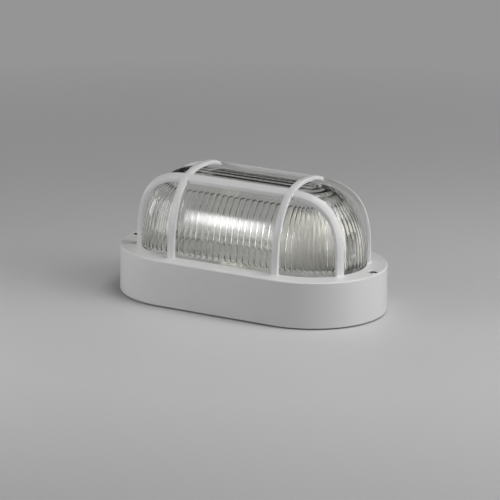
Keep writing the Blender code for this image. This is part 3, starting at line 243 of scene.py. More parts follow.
def drifting(name, colour, roughness, size, tints, gloss=None, detail=3.0, **even):
    """A finish whose colour, and whose gloss where a range is given, drift with soft noise."""
    tree, shader = new_finish(name, colour, roughness, **even)
    where = place_on(tree)
    drift = grain(tree, where, size, detail)
    plug(tree, shader.inputs["Base Color"], tint(tree, spread(drift, 0.0, 1.0), *tints))
    if gloss:
        plug(tree, shader.inputs["Roughness"], spread(drift, *gloss))
    return tree, shader, where, drift


print("finish helpers are ready")

# %% [markdown]
# The cover is die-cast aluminium under white stove enamel. Enamel isn't perfectly even:
# it has a faint orange peel a millimetre or two across, slow changes of gloss where it
# ran, and a trace of dust in the corners. Its roughness stays above 0.28 everywhere. Under
# about 0.27 a render's denoiser takes a surface for a mirror, and where paint crosses that
# value a patch with a hard edge appears.

# %% White enamel
def white_enamel(name):
    tints = (0.771, 0.768, 0.773), (0.801, 0.798, 0.802)
    tree, shader, where, slow = drifting(name, (0.78, 0.78, 0.77), 0.27, size=0.045, tints=tints)
    dust = grain(tree, where, 0.006, detail=6.0)
    plug(tree, shader.inputs["Roughness"], spread(slow, 0.283, 0.325) + spread(dust, 0.0, 0.006))
    relief(tree, shader, grain(tree, where, 0.0016, detail=2.0), 0.00001)


white_enamel("white_enamel")
print("made", *finishes)

# %% [markdown]
# The glass is soda glass pressed in a mould: clear, faintly green, and smooth to the
# touch, with a skin that is very slightly wavy. Lamps have to shine through it onto the
# white inside, which a bent ray seldom manages in a render, so for shadows alone the
# glass is clear.

# %% Clear pressed glass
SHADOW_TINT = (0.88, 0.885, 0.865, 1.0)


def clear_glass(name):
    tree, shader, _, slow = drifting(
        name, (0.958, 0.957, 0.945), 0.0, size=0.02, gloss=(0.0, 0.025),
        tints=((0.948, 0.948, 0.932), (0.965, 0.965, 0.952)), Transmission_Weight=1.0, IOR=1.52,
    )
    relief(tree, shader, slow, 0.0002, strength=0.5)
    clear = add_node(tree, "ShaderNodeBsdfTransparent", sockets={"Color": SHADOW_TINT})
    shadow = add_node(tree, "ShaderNodeLightPath", output="Is Shadow Ray")
    blend = mix_shaders(tree, shadow, Wire(tree, shader.outputs[0]), clear)
    plug(tree, tree.nodes["Material Output"].inputs["Surface"], blend)


clear_glass("clear_glass")
print("made", *finishes)

# %% [markdown]
# The metals: bright zinc on the screws, bare spring steel on the clips, plated sheet on
# the bracket, and brass on the contacts. Each has fine lines or a fine grain, and patches
# where the plating is duller.

# %% Metals
def metal(name, colour, dull, roughness, grain_size):
    tree, shader, where, patches = drifting(
        name, colour, roughness, size=0.004, tints=(colour, dull), detail=5.0, Metallic=1.0,
    )
    lines = grain(tree, where, grain_size, detail=2.0)
    gloss = spread(patches, roughness - 0.06, roughness + 0.10) + spread(lines, -0.03, 0.03)
    plug(tree, shader.inputs["Roughness"], gloss)
    relief(tree, shader, lines, 0.00002)


metal("zinc_screws", (0.62, 0.62, 0.60), (0.46, 0.46, 0.45), 0.32, 0.0004)
metal("cover_screw_steel", (0.70, 0.70, 0.70), (0.46, 0.46, 0.46), 0.20, 0.0003)
metal("spring_steel", (0.55, 0.55, 0.56), (0.38, 0.37, 0.36), 0.30, 0.0004)
metal("bracket_steel", (0.60, 0.60, 0.60), (0.46, 0.46, 0.44), 0.36, 0.0008)
metal("brass", (0.78, 0.60, 0.30), (0.55, 0.38, 0.17), 0.28, 0.0005)
print("finishes so far:", len(finishes))

# %% [markdown]
# Porcelain, nylon, rubber and foam. Porcelain has a thick clear glaze with a few pits,
# and its grey-beige colour is painted shade, darker than white porcelain because the
# holder sits in shade inside the glass. Nylon lets a little light in, rubber is dull, and
# foam is full of small cells.

# %% Porcelain and nylon
def moulded_skin(name, colour, roughness, size, tints, gloss, pits, **even):
    """A smooth hard skin. Its pits are given as the size and the detail of their noise."""
    tree, shader, where, _ = drifting(name, colour, roughness, size, tints, gloss, **even)
    relief(tree, shader, grain(tree, where, *pits), 0.00003)


# The porcelain's grey-beige colour and tints are painted shade: white porcelain darkened for the shade inside
# the glass.
moulded_skin(
    "white_porcelain", (0.58, 0.57, 0.54), 0.16, size=0.012, tints=((0.56, 0.55, 0.52), (0.61, 0.60, 0.57)),
    gloss=(0.12, 0.22), pits=(0.0009, 1.0), Coat_Roughness=0.05, Coat_Weight=0.5,
)
moulded_skin(
    "natural_nylon", (0.75, 0.74, 0.69), 0.45, size=0.008, tints=((0.72, 0.71, 0.65), (0.78, 0.77, 0.72)),
    gloss=(0.38, 0.55), pits=(0.0005, 3.0), Subsurface_Weight=0.1, Subsurface_Scale=0.001,
)
print("finishes so far:", len(finishes))


# %% Rubber, foam and sleeving
def soft_skin(name, colour, worn, roughness, cell):
    gloss = roughness - 0.08, roughness + 0.08
    tree, shader, where, _ = drifting(name, colour, roughness, 0.007, (colour, worn), gloss, detail=5.0)
    cells = add_node(tree, "ShaderNodeTexVoronoi", sockets={"Vector": where, "Scale": 1.0 / cell})
    relief(tree, shader, cells, cell / 6)


SLEEVE_FROM = 0.020
SLEEVE_COLOUR = (0.66, 0.65, 0.60)
SHARP_STEP = 4000.0


def sleeving(name, colour, stripe=None):
    """Smooth PVC round a lead; the two hot ones wear a pale glass sleeve up to the holder."""
    tree, shader = new_finish(name, colour, 0.42)
    where = place_on(tree)
    height = axis_of(tree, where, "Z")
    rub = grain(tree, where, 0.005)
    skin = tint(tree, spread(rub, 0.0, 1.0), colour, tuple(value * 0.8 for value in colour))
    if stripe:
        lines = (height * 4000.0 + axis_of(tree, where, "Y") * 900.0).math("SINE")
        skin = tint(tree, (lines * 6.0).clamped(), skin, stripe)
    else:
        skin = tint(tree, ((height - SLEEVE_FROM) * SHARP_STEP).clamped(), skin, SLEEVE_COLOUR)
    plug(tree, shader.inputs["Base Color"], skin)
    plug(tree, shader.inputs["Roughness"], spread(rub, 0.36, 0.52))
    relief(tree, shader, grain(tree, where, 0.0006), 0.00002)


soft_skin("black_rubber", (0.03, 0.03, 0.03), (0.06, 0.058, 0.055), 0.68, 0.0006)
soft_skin("pale_silicone", (0.64, 0.62, 0.57), (0.56, 0.54, 0.49), 0.60, 0.0008)
soft_skin("grey_foam", (0.10, 0.10, 0.10), (0.16, 0.16, 0.155), 0.90, 0.0005)
sleeving("brown_insulation", (0.20, 0.08, 0.04))
sleeving("blue_insulation", (0.05, 0.15, 0.45))
sleeving("green_yellow_insulation", (0.08, 0.34, 0.06), (0.80, 0.68, 0.05))
print("finishes so far:", len(finishes))

# %% [markdown]
# Every piece of the frame now gets its finish by its slot in the record.

# %% Dress the frame's own pieces
def clad(piece, slot):
    """Gives a piece the finish of a slot, and no other."""
    piece.data.materials.clear()
    piece.data.materials.append(finishes[slot])


for part in frame["record"]["subparts"]:
    clad(nodes[part["node"]], part["material_slot"])
for plain in plain_finishes:
    if plain.users == 0:
        bpy.data.materials.remove(plain)

# %% [markdown]
# The sizes below repeat those of the frame, in metres. Every outline is an oval with
# straight sides, which is all the points at one distance from a straight spine.

# %% Sizes and outlines
SPINE = 0.0475
COVER_HEIGHT = 0.035
GLASS_RADIUS = 0.0415
GLASS_RISE = 0.0585
GLASS_SQUARENESS = 2.35
GLASS_WALL = 0.003
OPENING_RADIUS = GLASS_RADIUS + 0.0005
COVER_RADIUS = GLASS_RADIUS + 0.016
SKIRT_INSIDE = COVER_RADIUS - 0.0025
RIM_UNDERSIDE = COVER_HEIGHT - 0.003
COVER_SCREW_X = SPINE + COVER_RADIUS - 0.0053


def circle(count):
    """The angles of so many steps once round."""
    return [2 * math.pi * step / count for step in range(count)]


def oval(radius, height, steps=48, straight=1):
    """One oval outline, anticlockwise, with so many steps on each round end and straight side."""
    points = []
    for side in (1, -1):
        for step in range(steps + 1):
            angle = math.pi * step / steps - side * math.pi / 2
            points.append(Vector((side * SPINE + radius * math.cos(angle), radius * math.sin(angle), height)))
        for step in range(1, straight):
            points.append(Vector((side * SPINE * (1 - 2 * step / straight), side * radius, height)))
    return points


print("oval of the glass is", round(2000 * (SPINE + GLASS_RADIUS), 1), "mm long")


# %% From outlines to pieces
def skin_rings(builder, rings, closed=False, caps=False):
    """Joins rings of equal count by quads."""
    rows = [[builder.verts.new(point) for point in ring] for ring in rings]
    pairs = list(zip(rows, rows[1:])) + ([(rows[-1], rows[0])] if closed else [])
    for low, high in pairs:
        for place in range(len(low)):
            after = (place + 1) % len(low)
            builder.faces.new((low[place], low[after], high[after], high[place]))
    if caps:
        builder.faces.new(list(reversed(rows[0])))
        builder.faces.new(rows[-1])
    return rows


def shade(mesh, angle):
    """Smooth shading, except across edges that are sharper than an angle in degrees."""
    mesh.shade_smooth()
    mesh.set_sharp_from_angle(angle=math.radians(angle))


def new_piece(name, builder, smooth=35.0):
    """A mesh object from a builder, smooth except across its sharp edges."""
    bmesh.ops.recalc_face_normals(builder, faces=builder.faces)
    mesh = bpy.data.meshes.new(name)
    builder.to_mesh(mesh)
    builder.free()
    shade(mesh, smooth)
    return add_object(name, mesh)


def settled(piece):
    """Turns what the modifiers make into the piece's own plain mesh."""
    graph = bpy.context.evaluated_depsgraph_get()
    mesh = bpy.data.meshes.new_from_object(piece.evaluated_get(graph))
    piece.modifiers.clear()
    old = piece.data
    mesh.name = piece.name
    piece.data = mesh
    bpy.data.meshes.remove(old)
    return piece


def combine(target, tool, operation):
    """Joins, cuts or trims a piece by another one, which is then thrown away."""
    change = target.modifiers.new(operation.lower(), "BOOLEAN")
    change.operation = operation
    change.solver = "EXACT"
    change.object = tool
    settled(target)
    bpy.data.objects.remove(tool, do_unlink=True)


print("helpers for pieces are ready")

# %% [markdown]
# Now the glass. Its outside is a smooth squared dome. Its inside follows the same dome
# one wall in, and the flutes are pressed into that. The smooth skins are laid out here as
# plain grids, and each point of the inner one remembers where it is: how many flutes
# round the oval, how far up the wall, and how far out on the crown. Geometry Nodes can
# then press the flutes in by a rule, and their number and depth stay easy to change.

# %% Grids of the glass
FLUTE_PITCH = 0.005
FLUTES_STRAIGHT = round(2 * SPINE / FLUTE_PITCH)
FLUTES_ROUND = round(math.pi * GLASS_RADIUS / FLUTE_PITCH)
POINTS_PER_FLUTE = 10
RIDGE_DEPTH = 0.0009
FLANGE_RADIUS = GLASS_RADIUS + 0.0055
FLANGE_TOP = 0.0302
FLANGE_UNDERSIDE = 0.0272
FLANGE_CORNER = 0.0004


def dome(radius, rise, share):
    """Radius and height of the squared dome at a share of its rise."""
    power = GLASS_SQUARENESS
    return radius * (1 - share ** power) ** (1 / power), COVER_HEIGHT + rise * share


def dome_shares(rows, top=0.9995):
    """Shares of the rise, evenly spread along the dome's curve."""
    power = 2 / GLASS_SQUARENESS
    return [math.sin(math.pi / 2 * top * row / rows) ** power for row in range(rows + 1)]


print("flutes round the glass:", 2 * (FLUTES_STRAIGHT + FLUTES_ROUND))


# %% Inner skin of the glass
def inner_skin():
    """The hollow of the glass before its flutes, with the places of its points."""
    inner = GLASS_RADIUS - GLASS_WALL - RIDGE_DEPTH
    rise = GLASS_RISE - GLASS_WALL - RIDGE_DEPTH
    low = [0.0005 * step / rise for step in range(1, 12)]
    shares = low + [share for share in dome_shares(74) if share > low[-1] + 0.004]
    profile = [(inner, FLANGE_UNDERSIDE - 0.003, 0.0), (inner, FLANGE_UNDERSIDE + 0.004, 0.0)]
    profile += [(*dome(inner, rise, share), share) for share in shares]
    builder = bmesh.new()
    layers = [builder.verts.layers.float.new(word) for word in ("around", "upward", "reach")]
    steps = FLUTES_ROUND * POINTS_PER_FLUTE, FLUTES_STRAIGHT * POINTS_PER_FLUTE
    rows = skin_rings(builder, [oval(radius, level, *steps) for radius, level, _ in profile], caps=True)
    for row, (radius, _, share) in zip(rows, profile):
        for count, vertex in enumerate(row):
            for layer, value in zip(layers, (count / POINTS_PER_FLUTE, share, radius)):
                vertex[layer] = value
    return new_piece("glass_hollow", builder)


hollow = inner_skin()
print("inner skin has", len(hollow.data.polygons), "faces")


# %% Helpers for Geometry Nodes
def new_tree(name, inputs):
    """A tree with named inputs, each given as its kind or, for a size, as its value."""
    tree = bpy.data.node_groups.new(name, "GeometryNodeTree")
    for word, value in inputs.items():
        kind = "Float" if isinstance(value, float) else value
        socket = tree.interface.new_socket(word, in_out="INPUT", socket_type="NodeSocket" + kind)
        if kind == "Float":
            socket.default_value = value
    entry = tree.nodes.new("NodeGroupInput")
    return tree, {socket.name: Wire(tree, socket) for socket in entry.outputs if socket.name}


def remembered(tree, word, kind="FLOAT"):
    """What each point remembers under a word."""
    settings = {"data_type": kind}
    return add_node(tree, "GeometryNodeInputNamedAttribute", settings, {"Name": word}, "Attribute")


def scaled(tree, vector, amount):
    """A vector made longer or shorter."""
    return add_node(tree, "ShaderNodeVectorMath", {"operation": "SCALE"}, {0: vector, "Scale": amount})


def leave_with(tree, geometry, slot):
    """Ends a tree in real faces that have one finish."""
    real = add_node(tree, "GeometryNodeRealizeInstances", sockets={"Geometry": geometry})
    sockets = {"Geometry": real, "Material": finishes[slot]}
    coat = add_node(tree, "GeometryNodeSetMaterial", sockets=sockets)
    tree.interface.new_socket("Geometry", in_out="OUTPUT", socket_type="NodeSocketGeometry")
    leave = tree.nodes.new("NodeGroupOutput")
    tree.links.new(coat.socket, leave.inputs[0])
    return tree


def add_modifier_tree(piece, tree, **values):
    """Puts a tree on a piece and sets its inputs by their identifiers."""
    modifier = piece.modifiers.new(tree.name, "NODES")
    modifier.node_group = tree
    names = {item.name: item.identifier for item in tree.interface.items_tree if item.in_out == "INPUT"}
    for name, value in values.items():
        modifier[names[name.replace("_", " ")]] = value


def forget(piece, *words):
    """Drops what the points of a piece remember."""
    for word in words:
        if word in piece.data.attributes:
            piece.data.attributes.remove(piece.data.attributes[word])


print("helpers for trees are ready")

# %% [markdown]
# The rule for one upright flute: across its width it is a shallow arc, deepest in the
# middle and meeting its neighbours in a thin ridge. At its foot and its head the arc
# closes in a round end, as the tip of a ball cutter would leave it. On the crown the
# flutes run as rings that follow the oval, so they look like straight lines along the
# top and curl round at its ends.

# %% Geometry Nodes that press the flutes
FOOT_ROUNDING = 0.045
HEAD_ROUNDING = 0.022
CROWN_FROM = 0.8


def flute_tree():
    tree, given = new_tree("press_flutes", {
        "Hollow": "Geometry", "Flute Depth": 0.00082, "Flute Foot": 0.030, "Flute Head": 0.85,
        "Crown Edge": 0.0225, "Crown Pitch": 0.0054, "Crown Depth": 0.00035,
    })
    around, upward, reach = (remembered(tree, word) for word in ("around", "upward", "reach"))
    across = (around.math("FRACT") - 0.5) * 2.0
    foot_end = ((given["Flute Foot"] + FOOT_ROUNDING - upward) / FOOT_ROUNDING).clamped()
    head_end = ((upward - given["Flute Head"] + HEAD_ROUNDING) / HEAD_ROUNDING).clamped()
    arc = (1.0 - across * across - foot_end * foot_end - head_end * head_end).clamped()
    upright = arc * given["Flute Depth"] * (reach / GLASS_RADIUS * 0.7 + 0.3)
    ring = ((reach / given["Crown Pitch"]).math("FRACT") - 0.5) * 2.0
    inside_edge = ((given["Crown Edge"] - reach) * SHARP_STEP).clamped()
    on_crown = inside_edge * ((upward - CROWN_FROM) * 50.0).clamped()
    crown = (1.0 - ring * ring) * given["Crown Depth"] * on_crown
    push = scaled(tree, add_node(tree, "GeometryNodeInputNormal"), upright + crown)
    sockets = {"Geometry": given["Hollow"], "Offset": push}
    pressed = add_node(tree, "GeometryNodeSetPosition", sockets=sockets)
    return leave_with(tree, pressed, "clear_glass")


add_modifier_tree(hollow, flute_tree())
settled(hollow)
print("pressed; the hollow has", len(hollow.data.vertices), "points")


# %% Close the glass round its hollow
GLASS_SHARP_ANGLE = 50.0


def glass_with(hollow_piece):
    """The smooth outside and the flange, joined to the fluted inside at the lower edge."""
    profile = [
        (FLANGE_RADIUS, FLANGE_UNDERSIDE),
        (FLANGE_RADIUS, FLANGE_TOP),
        (GLASS_RADIUS + FLANGE_CORNER, FLANGE_TOP),
        (GLASS_RADIUS, FLANGE_TOP + FLANGE_CORNER),
    ]
    profile += [dome(GLASS_RADIUS, GLASS_RISE, share) for share in dome_shares(60)]
    builder = bmesh.new()
    rings = [oval(radius, height, steps=64, straight=24) for radius, height in profile]
    skin_rings(builder, rings, caps=True)
    solid = new_piece("fluted_glass", builder, smooth=GLASS_SHARP_ANGLE)
    combine(solid, hollow_piece, "DIFFERENCE")
    shade(solid.data, GLASS_SHARP_ANGLE)
    forget(solid, "around", "upward", "reach")
    return solid


fluted_glass = glass_with(hollow)
print("glass has", len(fluted_glass.data.polygons), "faces")


# %% Put a new piece in the place of old ones
def take_over(piece, slot, *old):
    """Makes a piece ride with the light, stand for CAD nodes, and take a slot's finish."""
    clad(piece, slot)
    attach(piece, "root")
    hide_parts(*old)
    triangles = sum(len(face.vertices) - 2 for face in piece.data.polygons)
    print(piece.name, "stands for", ", ".join(old), "with", triangles, "triangles")


take_over(fluted_glass, "clear_glass", "glass_dome")

# %% [markdown]
# The cover comes next. Its skirt and rim are one profile carried round the oval, with a
# small radius on the outer edge, where the photographed light shows a thin bright line,
# and a smaller one round the glass. The bosses under the rim take the two cover screws
# and the four clips that hold the glass up.

# %% Profiles and turned shapes
RIM_EDGE_RADIUS = 0.0011
LIP_RADIUS = 0.0006
INSIDE_CORNER = 0.001
FOOT_EDGE = 0.0004
FOOT_GAP = 0.0006
FLANGE_GAP = 0.0005
OVERLAP = 0.001
CLIP_PLACES = [(x, side * (SKIRT_INSIDE - 0.0028)) for x in (-0.030, 0.030) for side in (-1, 1)]
SCREW_PLACES = [(-COVER_SCREW_X, 0.0), (COVER_SCREW_X, 0.0)]


def arc(centre, radius, start, end, steps):
    """Points of an arc in a profile, with its angles in degrees."""
    angles = [math.radians(start + (end - start) * step / steps) for step in range(steps + 1)]
    return [(centre[0] + radius * math.cos(a), centre[1] + radius * math.sin(a)) for a in angles]


def add_turned(builder, profile, place, axis="Z", facets=32):
    """Turns (radius, distance along the axis) pairs into a closed solid."""
    rings = []
    for radius, along in profile:
        flat = [(radius * math.cos(angle), radius * math.sin(angle)) for angle in circle(facets)]
        ring = [(a, b, along) if axis == "Z" else (along, a, b) for a, b in flat]
        rings.append([Vector(place) + Vector(point) for point in ring])
    skin_rings(builder, rings, caps=True)


print("clip bosses at", [(round(1000 * x, 1), round(1000 * y, 1)) for x, y in CLIP_PLACES])


# %% Skirt, rim and bosses
CLIP_BOSS_RADIUS = 0.003
SCREW_BOSS_RADIUS = 0.0042
SCREW_BOSS_DROP = 0.0035
ROUND_END_STEPS = 60


def carried(name, profile):
    """A closed profile of radius and height pairs, carried round the oval."""
    builder = bmesh.new()
    rings = [oval(radius, height, steps=ROUND_END_STEPS) for radius, height in profile]
    skin_rings(builder, rings, closed=True)
    return new_piece(name, builder)


def skirt_and_rim():
    edge = arc((COVER_RADIUS - RIM_EDGE_RADIUS, COVER_HEIGHT - RIM_EDGE_RADIUS), RIM_EDGE_RADIUS, 0, 90, 8)
    lip = arc((OPENING_RADIUS + LIP_RADIUS, COVER_HEIGHT - LIP_RADIUS), LIP_RADIUS, 90, 180, 5)
    corner = arc((SKIRT_INSIDE - INSIDE_CORNER, RIM_UNDERSIDE - INSIDE_CORNER), INSIDE_CORNER, 90, 0, 4)
    outer = COVER_RADIUS - FOOT_EDGE
    foot = [(SKIRT_INSIDE, FOOT_GAP), (outer, FOOT_GAP), (COVER_RADIUS, FOOT_GAP + FOOT_EDGE)]
    return carried("caged_cover", edge + lip + [(OPENING_RADIUS, RIM_UNDERSIDE)] + corner + foot)


def bosses():
    """The pillars under the rim, trimmed to the space between the glass and the skirt."""
    builder = bmesh.new()
    root = RIM_UNDERSIDE + OVERLAP
    for places, radius, low in (
        (CLIP_PLACES, CLIP_BOSS_RADIUS, FLANGE_UNDERSIDE),
        (SCREW_PLACES, SCREW_BOSS_RADIUS, RIM_UNDERSIDE - SCREW_BOSS_DROP),
    ):
        for x, y in places:
            add_turned(builder, [(radius, low), (radius, root)], (x, y, 0))
    tool = new_piece("bosses", builder)
    inner = FLANGE_RADIUS + FLANGE_GAP
    outer = SKIRT_INSIDE + 0.8 * OVERLAP
    ring = [(outer, 0.0), (outer, COVER_HEIGHT), (inner, COVER_HEIGHT), (inner, 0.0)]
    combine(tool, carried("trim", ring), "INTERSECT")
    return tool


caged_cover = skirt_and_rim()
combine(caged_cover, bosses(), "UNION")
print("skirt and rim with bosses:", len(caged_cover.data.polygons), "faces")

# %% [markdown]
# The cage is cast with the cover: two cross hoops and two lengthwise rails. Each bar lies
# on one squared dome, so that its broad face always looks straight out, and the crossings
# are flush. A bar is a section that follows a line, which is what Geometry Nodes do well.
# The script works out the lines, and stores on each point which way is out, and how far
# the fillet swells the bar there. The fillets are what makes it look cast: one where
# each leg runs into the rim, and one in each corner where a hoop meets a rail.

# %% Lines of the cage
BAR_THICKNESS = 0.0027
CAGE_TOP = COVER_HEIGHT + GLASS_RISE + 0.00185 + BAR_THICKNESS / 2
CAGE_SQUARENESS = 2.54
FOOT_Z = COVER_HEIGHT - 0.0012
ARCH_START = COVER_HEIGHT + 0.0016
HOOP_X = SPINE - 0.004
HOOP_REACH = GLASS_RADIUS + 0.0038
HOOP_WIDTH = 0.0053
RAIL_WIDTH = 0.0064
RAIL_Y = 0.0247
RAIL_FOOT_Y = 0.0227
RAIL_STRAIGHT = SPINE - 0.014
RAIL_SQUARENESS = 3.13
RAIL_FOOT_X = SPINE + math.sqrt((OPENING_RADIUS + BAR_THICKNESS / 2 + 0.00015) ** 2 - RAIL_FOOT_Y ** 2)
FOOT_FILLET = 0.0012
CROSSING_FILLET = 0.0011
LINE_STEPS = 400


def signed_power(value, exponent):
    return math.copysign(abs(value) ** exponent, value)


def outward_of(point):
    """Which way is out of the dome that the bars lie on."""
    rise = CAGE_TOP - FOOT_Z
    beyond = math.copysign(max(abs(point.x) - SPINE, 0.0), point.x)
    side = Vector((beyond, point.y))
    flat = side.normalized() if side.length > 1e-9 else Vector((0.0, 0.0))
    sideways = (side.length / HOOP_REACH) ** (CAGE_SQUARENESS - 1) / HOOP_REACH
    upward = (max(point.z - FOOT_Z, 0.0) / rise) ** (CAGE_SQUARENESS - 1) / rise
    return Vector((flat.x * sideways, flat.y * sideways, upward)).normalized()


def hoop_line(x):
    share = 2 / CAGE_SQUARENESS
    points = [Vector((x, -HOOP_REACH, FOOT_Z))]
    for step in range(LINE_STEPS + 1):
        angle = math.pi * step / LINE_STEPS
        y = -HOOP_REACH * signed_power(math.cos(angle), share)
        z = ARCH_START + (CAGE_TOP - ARCH_START) * signed_power(math.sin(angle), share)
        points.append(Vector((x, y, z)))
    return points + [Vector((x, HOOP_REACH, FOOT_Z))]


def rail_line(side):
    share = 2 / RAIL_SQUARENESS
    across_hoop = 1 - (RAIL_Y / HOOP_REACH) ** CAGE_SQUARENESS
    top = ARCH_START + (CAGE_TOP - ARCH_START) * across_hoop ** (1 / CAGE_SQUARENESS)
    half = []
    for step in range(LINE_STEPS + 1):
        angle = math.pi / 2 * step / LINE_STEPS
        out = signed_power(math.cos(angle), share) if step < LINE_STEPS else 0.0
        x = RAIL_STRAIGHT + (RAIL_FOOT_X - RAIL_STRAIGHT) * out
        y = RAIL_Y + (RAIL_FOOT_Y - RAIL_Y) * out
        half.append(Vector((x, side * y, ARCH_START + (top - ARCH_START) * math.sin(angle) ** share)))
    right_half = [Vector((half[0].x, half[0].y, FOOT_Z))] + half
    return right_half + [Vector((-point.x, point.y, point.z)) for point in reversed(right_half)]


print("a hoop's line has", len(hoop_line(HOOP_X)), "points before it is spaced out")


# %% Space out a line and its fillets
def fillet(distance, radius):
    """How far a fillet stands out, at a distance from the face it runs into."""
    near = min(max(distance, 0.0), radius)
    return radius - math.sqrt(radius ** 2 - (radius - near) ** 2)


def fillet_marks(face, radius, direction):
    """Places along a line where a fillet needs points, from the face outwards."""
    return [face + direction * radius * (1 - math.cos(math.pi / 2 * step / 6)) for step in range(7)]


def spaced_line(line, crossings, half_width, spacing=0.0015):
    """Points of a bar, close together where a fillet is, each with its swell."""
    lengths = [0.0]
    for before, after in zip(line, line[1:]):
        lengths.append(lengths[-1] + (after - before).length)
    total = lengths[-1]
    root = COVER_HEIGHT - FOOT_Z
    faces = [(root, 1, FOOT_FILLET), (total - root, -1, FOOT_FILLET)]
    for crossing in crossings:
        where = min(range(len(line)), key=lambda place: (line[place] - crossing).length)
        faces.append((lengths[where] - half_width, -1, CROSSING_FILLET))
        faces.append((lengths[where] + half_width, 1, CROSSING_FILLET))
    marks = [0.0, total]
    for face, direction, radius in faces:
        marks += fillet_marks(face, radius, direction)
    marks.sort()
    filled = []
    for before, after in zip(marks, marks[1:]):
        parts = max(1, round((after - before) / spacing))
        filled += [before + (after - before) * part / parts for part in range(parts)]
    filled.append(total)
    points = []
    swells = []
    place = 0
    for mark in filled:
        while place < len(lengths) - 2 and lengths[place + 1] < mark:
            place += 1
        share = (mark - lengths[place]) / (lengths[place + 1] - lengths[place])
        points.append(line[place].lerp(line[place + 1], min(max(share, 0.0), 1.0)))
        foot = fillet(min(mark, total - mark) - root, FOOT_FILLET)
        corner = 0.0
        for crossing in range(2, len(faces), 2):
            low, high = faces[crossing][0], faces[crossing + 1][0]
            corner = max(corner, fillet(max(low - mark, mark - high), CROSSING_FILLET))
        swells.append((foot, corner))
    return points, swells


def upright(facing, across, along):
    """How far a section leans over so that the sides of a rail stand upright."""
    return -facing.y / across.y * min(1.0, 1.3 * abs(along.x)) if abs(across.y) > 0.1 else 0.0


def bare_piece(name, points, edges, **memories):
    """Bare points and edges, with the numbers or directions that each point remembers."""
    mesh = bpy.data.meshes.new(name)
    mesh.from_pydata(points, edges, [])
    for word, values in memories.items():
        kind, field = ("FLOAT_VECTOR", "vector") if isinstance(values[0], Vector) else ("FLOAT", "value")
        store = mesh.attributes.new(word, kind, "POINT")
        for place, value in enumerate(values):
            setattr(store.data[place], field, value)
    return add_object(name, mesh)


def bar_lines(name, bars, leaning):
    """A mesh of plain lines that remember which way is out and how much to swell."""
    points, edges, out, across, foot, corner, lean = [], [], [], [], [], [], []
    for line, swells in bars:
        start = len(points)
        last = len(line) - 1
        for place, point in enumerate(line):
            along = (line[min(place + 1, last)] - line[max(place - 1, 0)]).normalized()
            facing = outward_of(point)
            facing = (facing - along * facing.dot(along)).normalized()
            points.append(point)
            out.append(facing)
            across.append(along.cross(facing))
            foot.append(swells[place][0])
            corner.append(swells[place][1])
            lean.append(upright(facing, across[-1], along) if leaning else 0.0)
        edges += [(start + place, start + place + 1) for place in range(last)]
    memories = {"outward": out, "across": across, "foot_swell": foot, "corner_swell": corner, "lean": lean}
    return bare_piece(name, points, edges, **memories)


rails_at = [rail_line(side) for side in (-1, 1)]
hoops_at = [hoop_line(x) for x in (-HOOP_X, HOOP_X)]
meets = [Vector((HOOP_X, side * RAIL_Y, rails_at[0][LINE_STEPS].z)) for side in (-1, 1)]
hoop_bars = []
for line in hoops_at:
    crossings = [Vector((line[0].x, meet.y, meet.z)) for meet in meets]
    hoop_bars.append(spaced_line(line, crossings, RAIL_WIDTH / 2))
rail_bars = [spaced_line(line, [], 0.0) for line in rails_at]
hoops = bar_lines("hoops", hoop_bars, leaning=False)
rails = bar_lines("rails", rail_bars, leaning=True)
print("points on the hoops:", len(hoops.data.vertices), "and on the rails:", len(rails.data.vertices))

# %% [markdown]
# The section of a bar is flat inside, with soft outer edges and a slight crown. Its
# points remember which side they belong to, so that the tree can swell the bar sideways
# and outwards by the right amounts.

# %% Section of a bar
BAR_EDGE_RADIUS = 0.0007
BAR_INNER_EDGE = 0.0003
BAR_CROWN = 0.00025
CROWN_STEPS = 6


def bar_section(name, width):
    """A closed outline with outward along X and across along Y."""
    half, deep = width / 2, BAR_THICKNESS / 2
    outer = arc((deep - BAR_EDGE_RADIUS, half - BAR_EDGE_RADIUS), BAR_EDGE_RADIUS, 90, 0, 6)
    inner = arc((BAR_INNER_EDGE - deep, half - BAR_INNER_EDGE), BAR_INNER_EDGE, 180, 90, 2)
    flat = half - BAR_EDGE_RADIUS
    crown = []
    for step in range(1, CROWN_STEPS):
        across = flat * (1 - 2 * step / CROWN_STEPS)
        crown.append((deep + BAR_CROWN * (1 - (across / flat) ** 2), across))
    side = inner + outer
    points = side + crown + [(out, -across) for out, across in reversed(side)]
    outline = [(out, across, 0.0) for out, across in points]
    edges = [(place, (place + 1) % len(points)) for place in range(len(points))]
    sides = [across / half for _, across in points]
    faces = [out / deep for out, _ in points]
    return bare_piece(name, outline, edges, side=sides, face=faces)


hoop_section = bar_section("hoop_section", HOOP_WIDTH)
rail_section = bar_section("rail_section", RAIL_WIDTH)
print("points round a bar:", len(hoop_section.data.vertices))


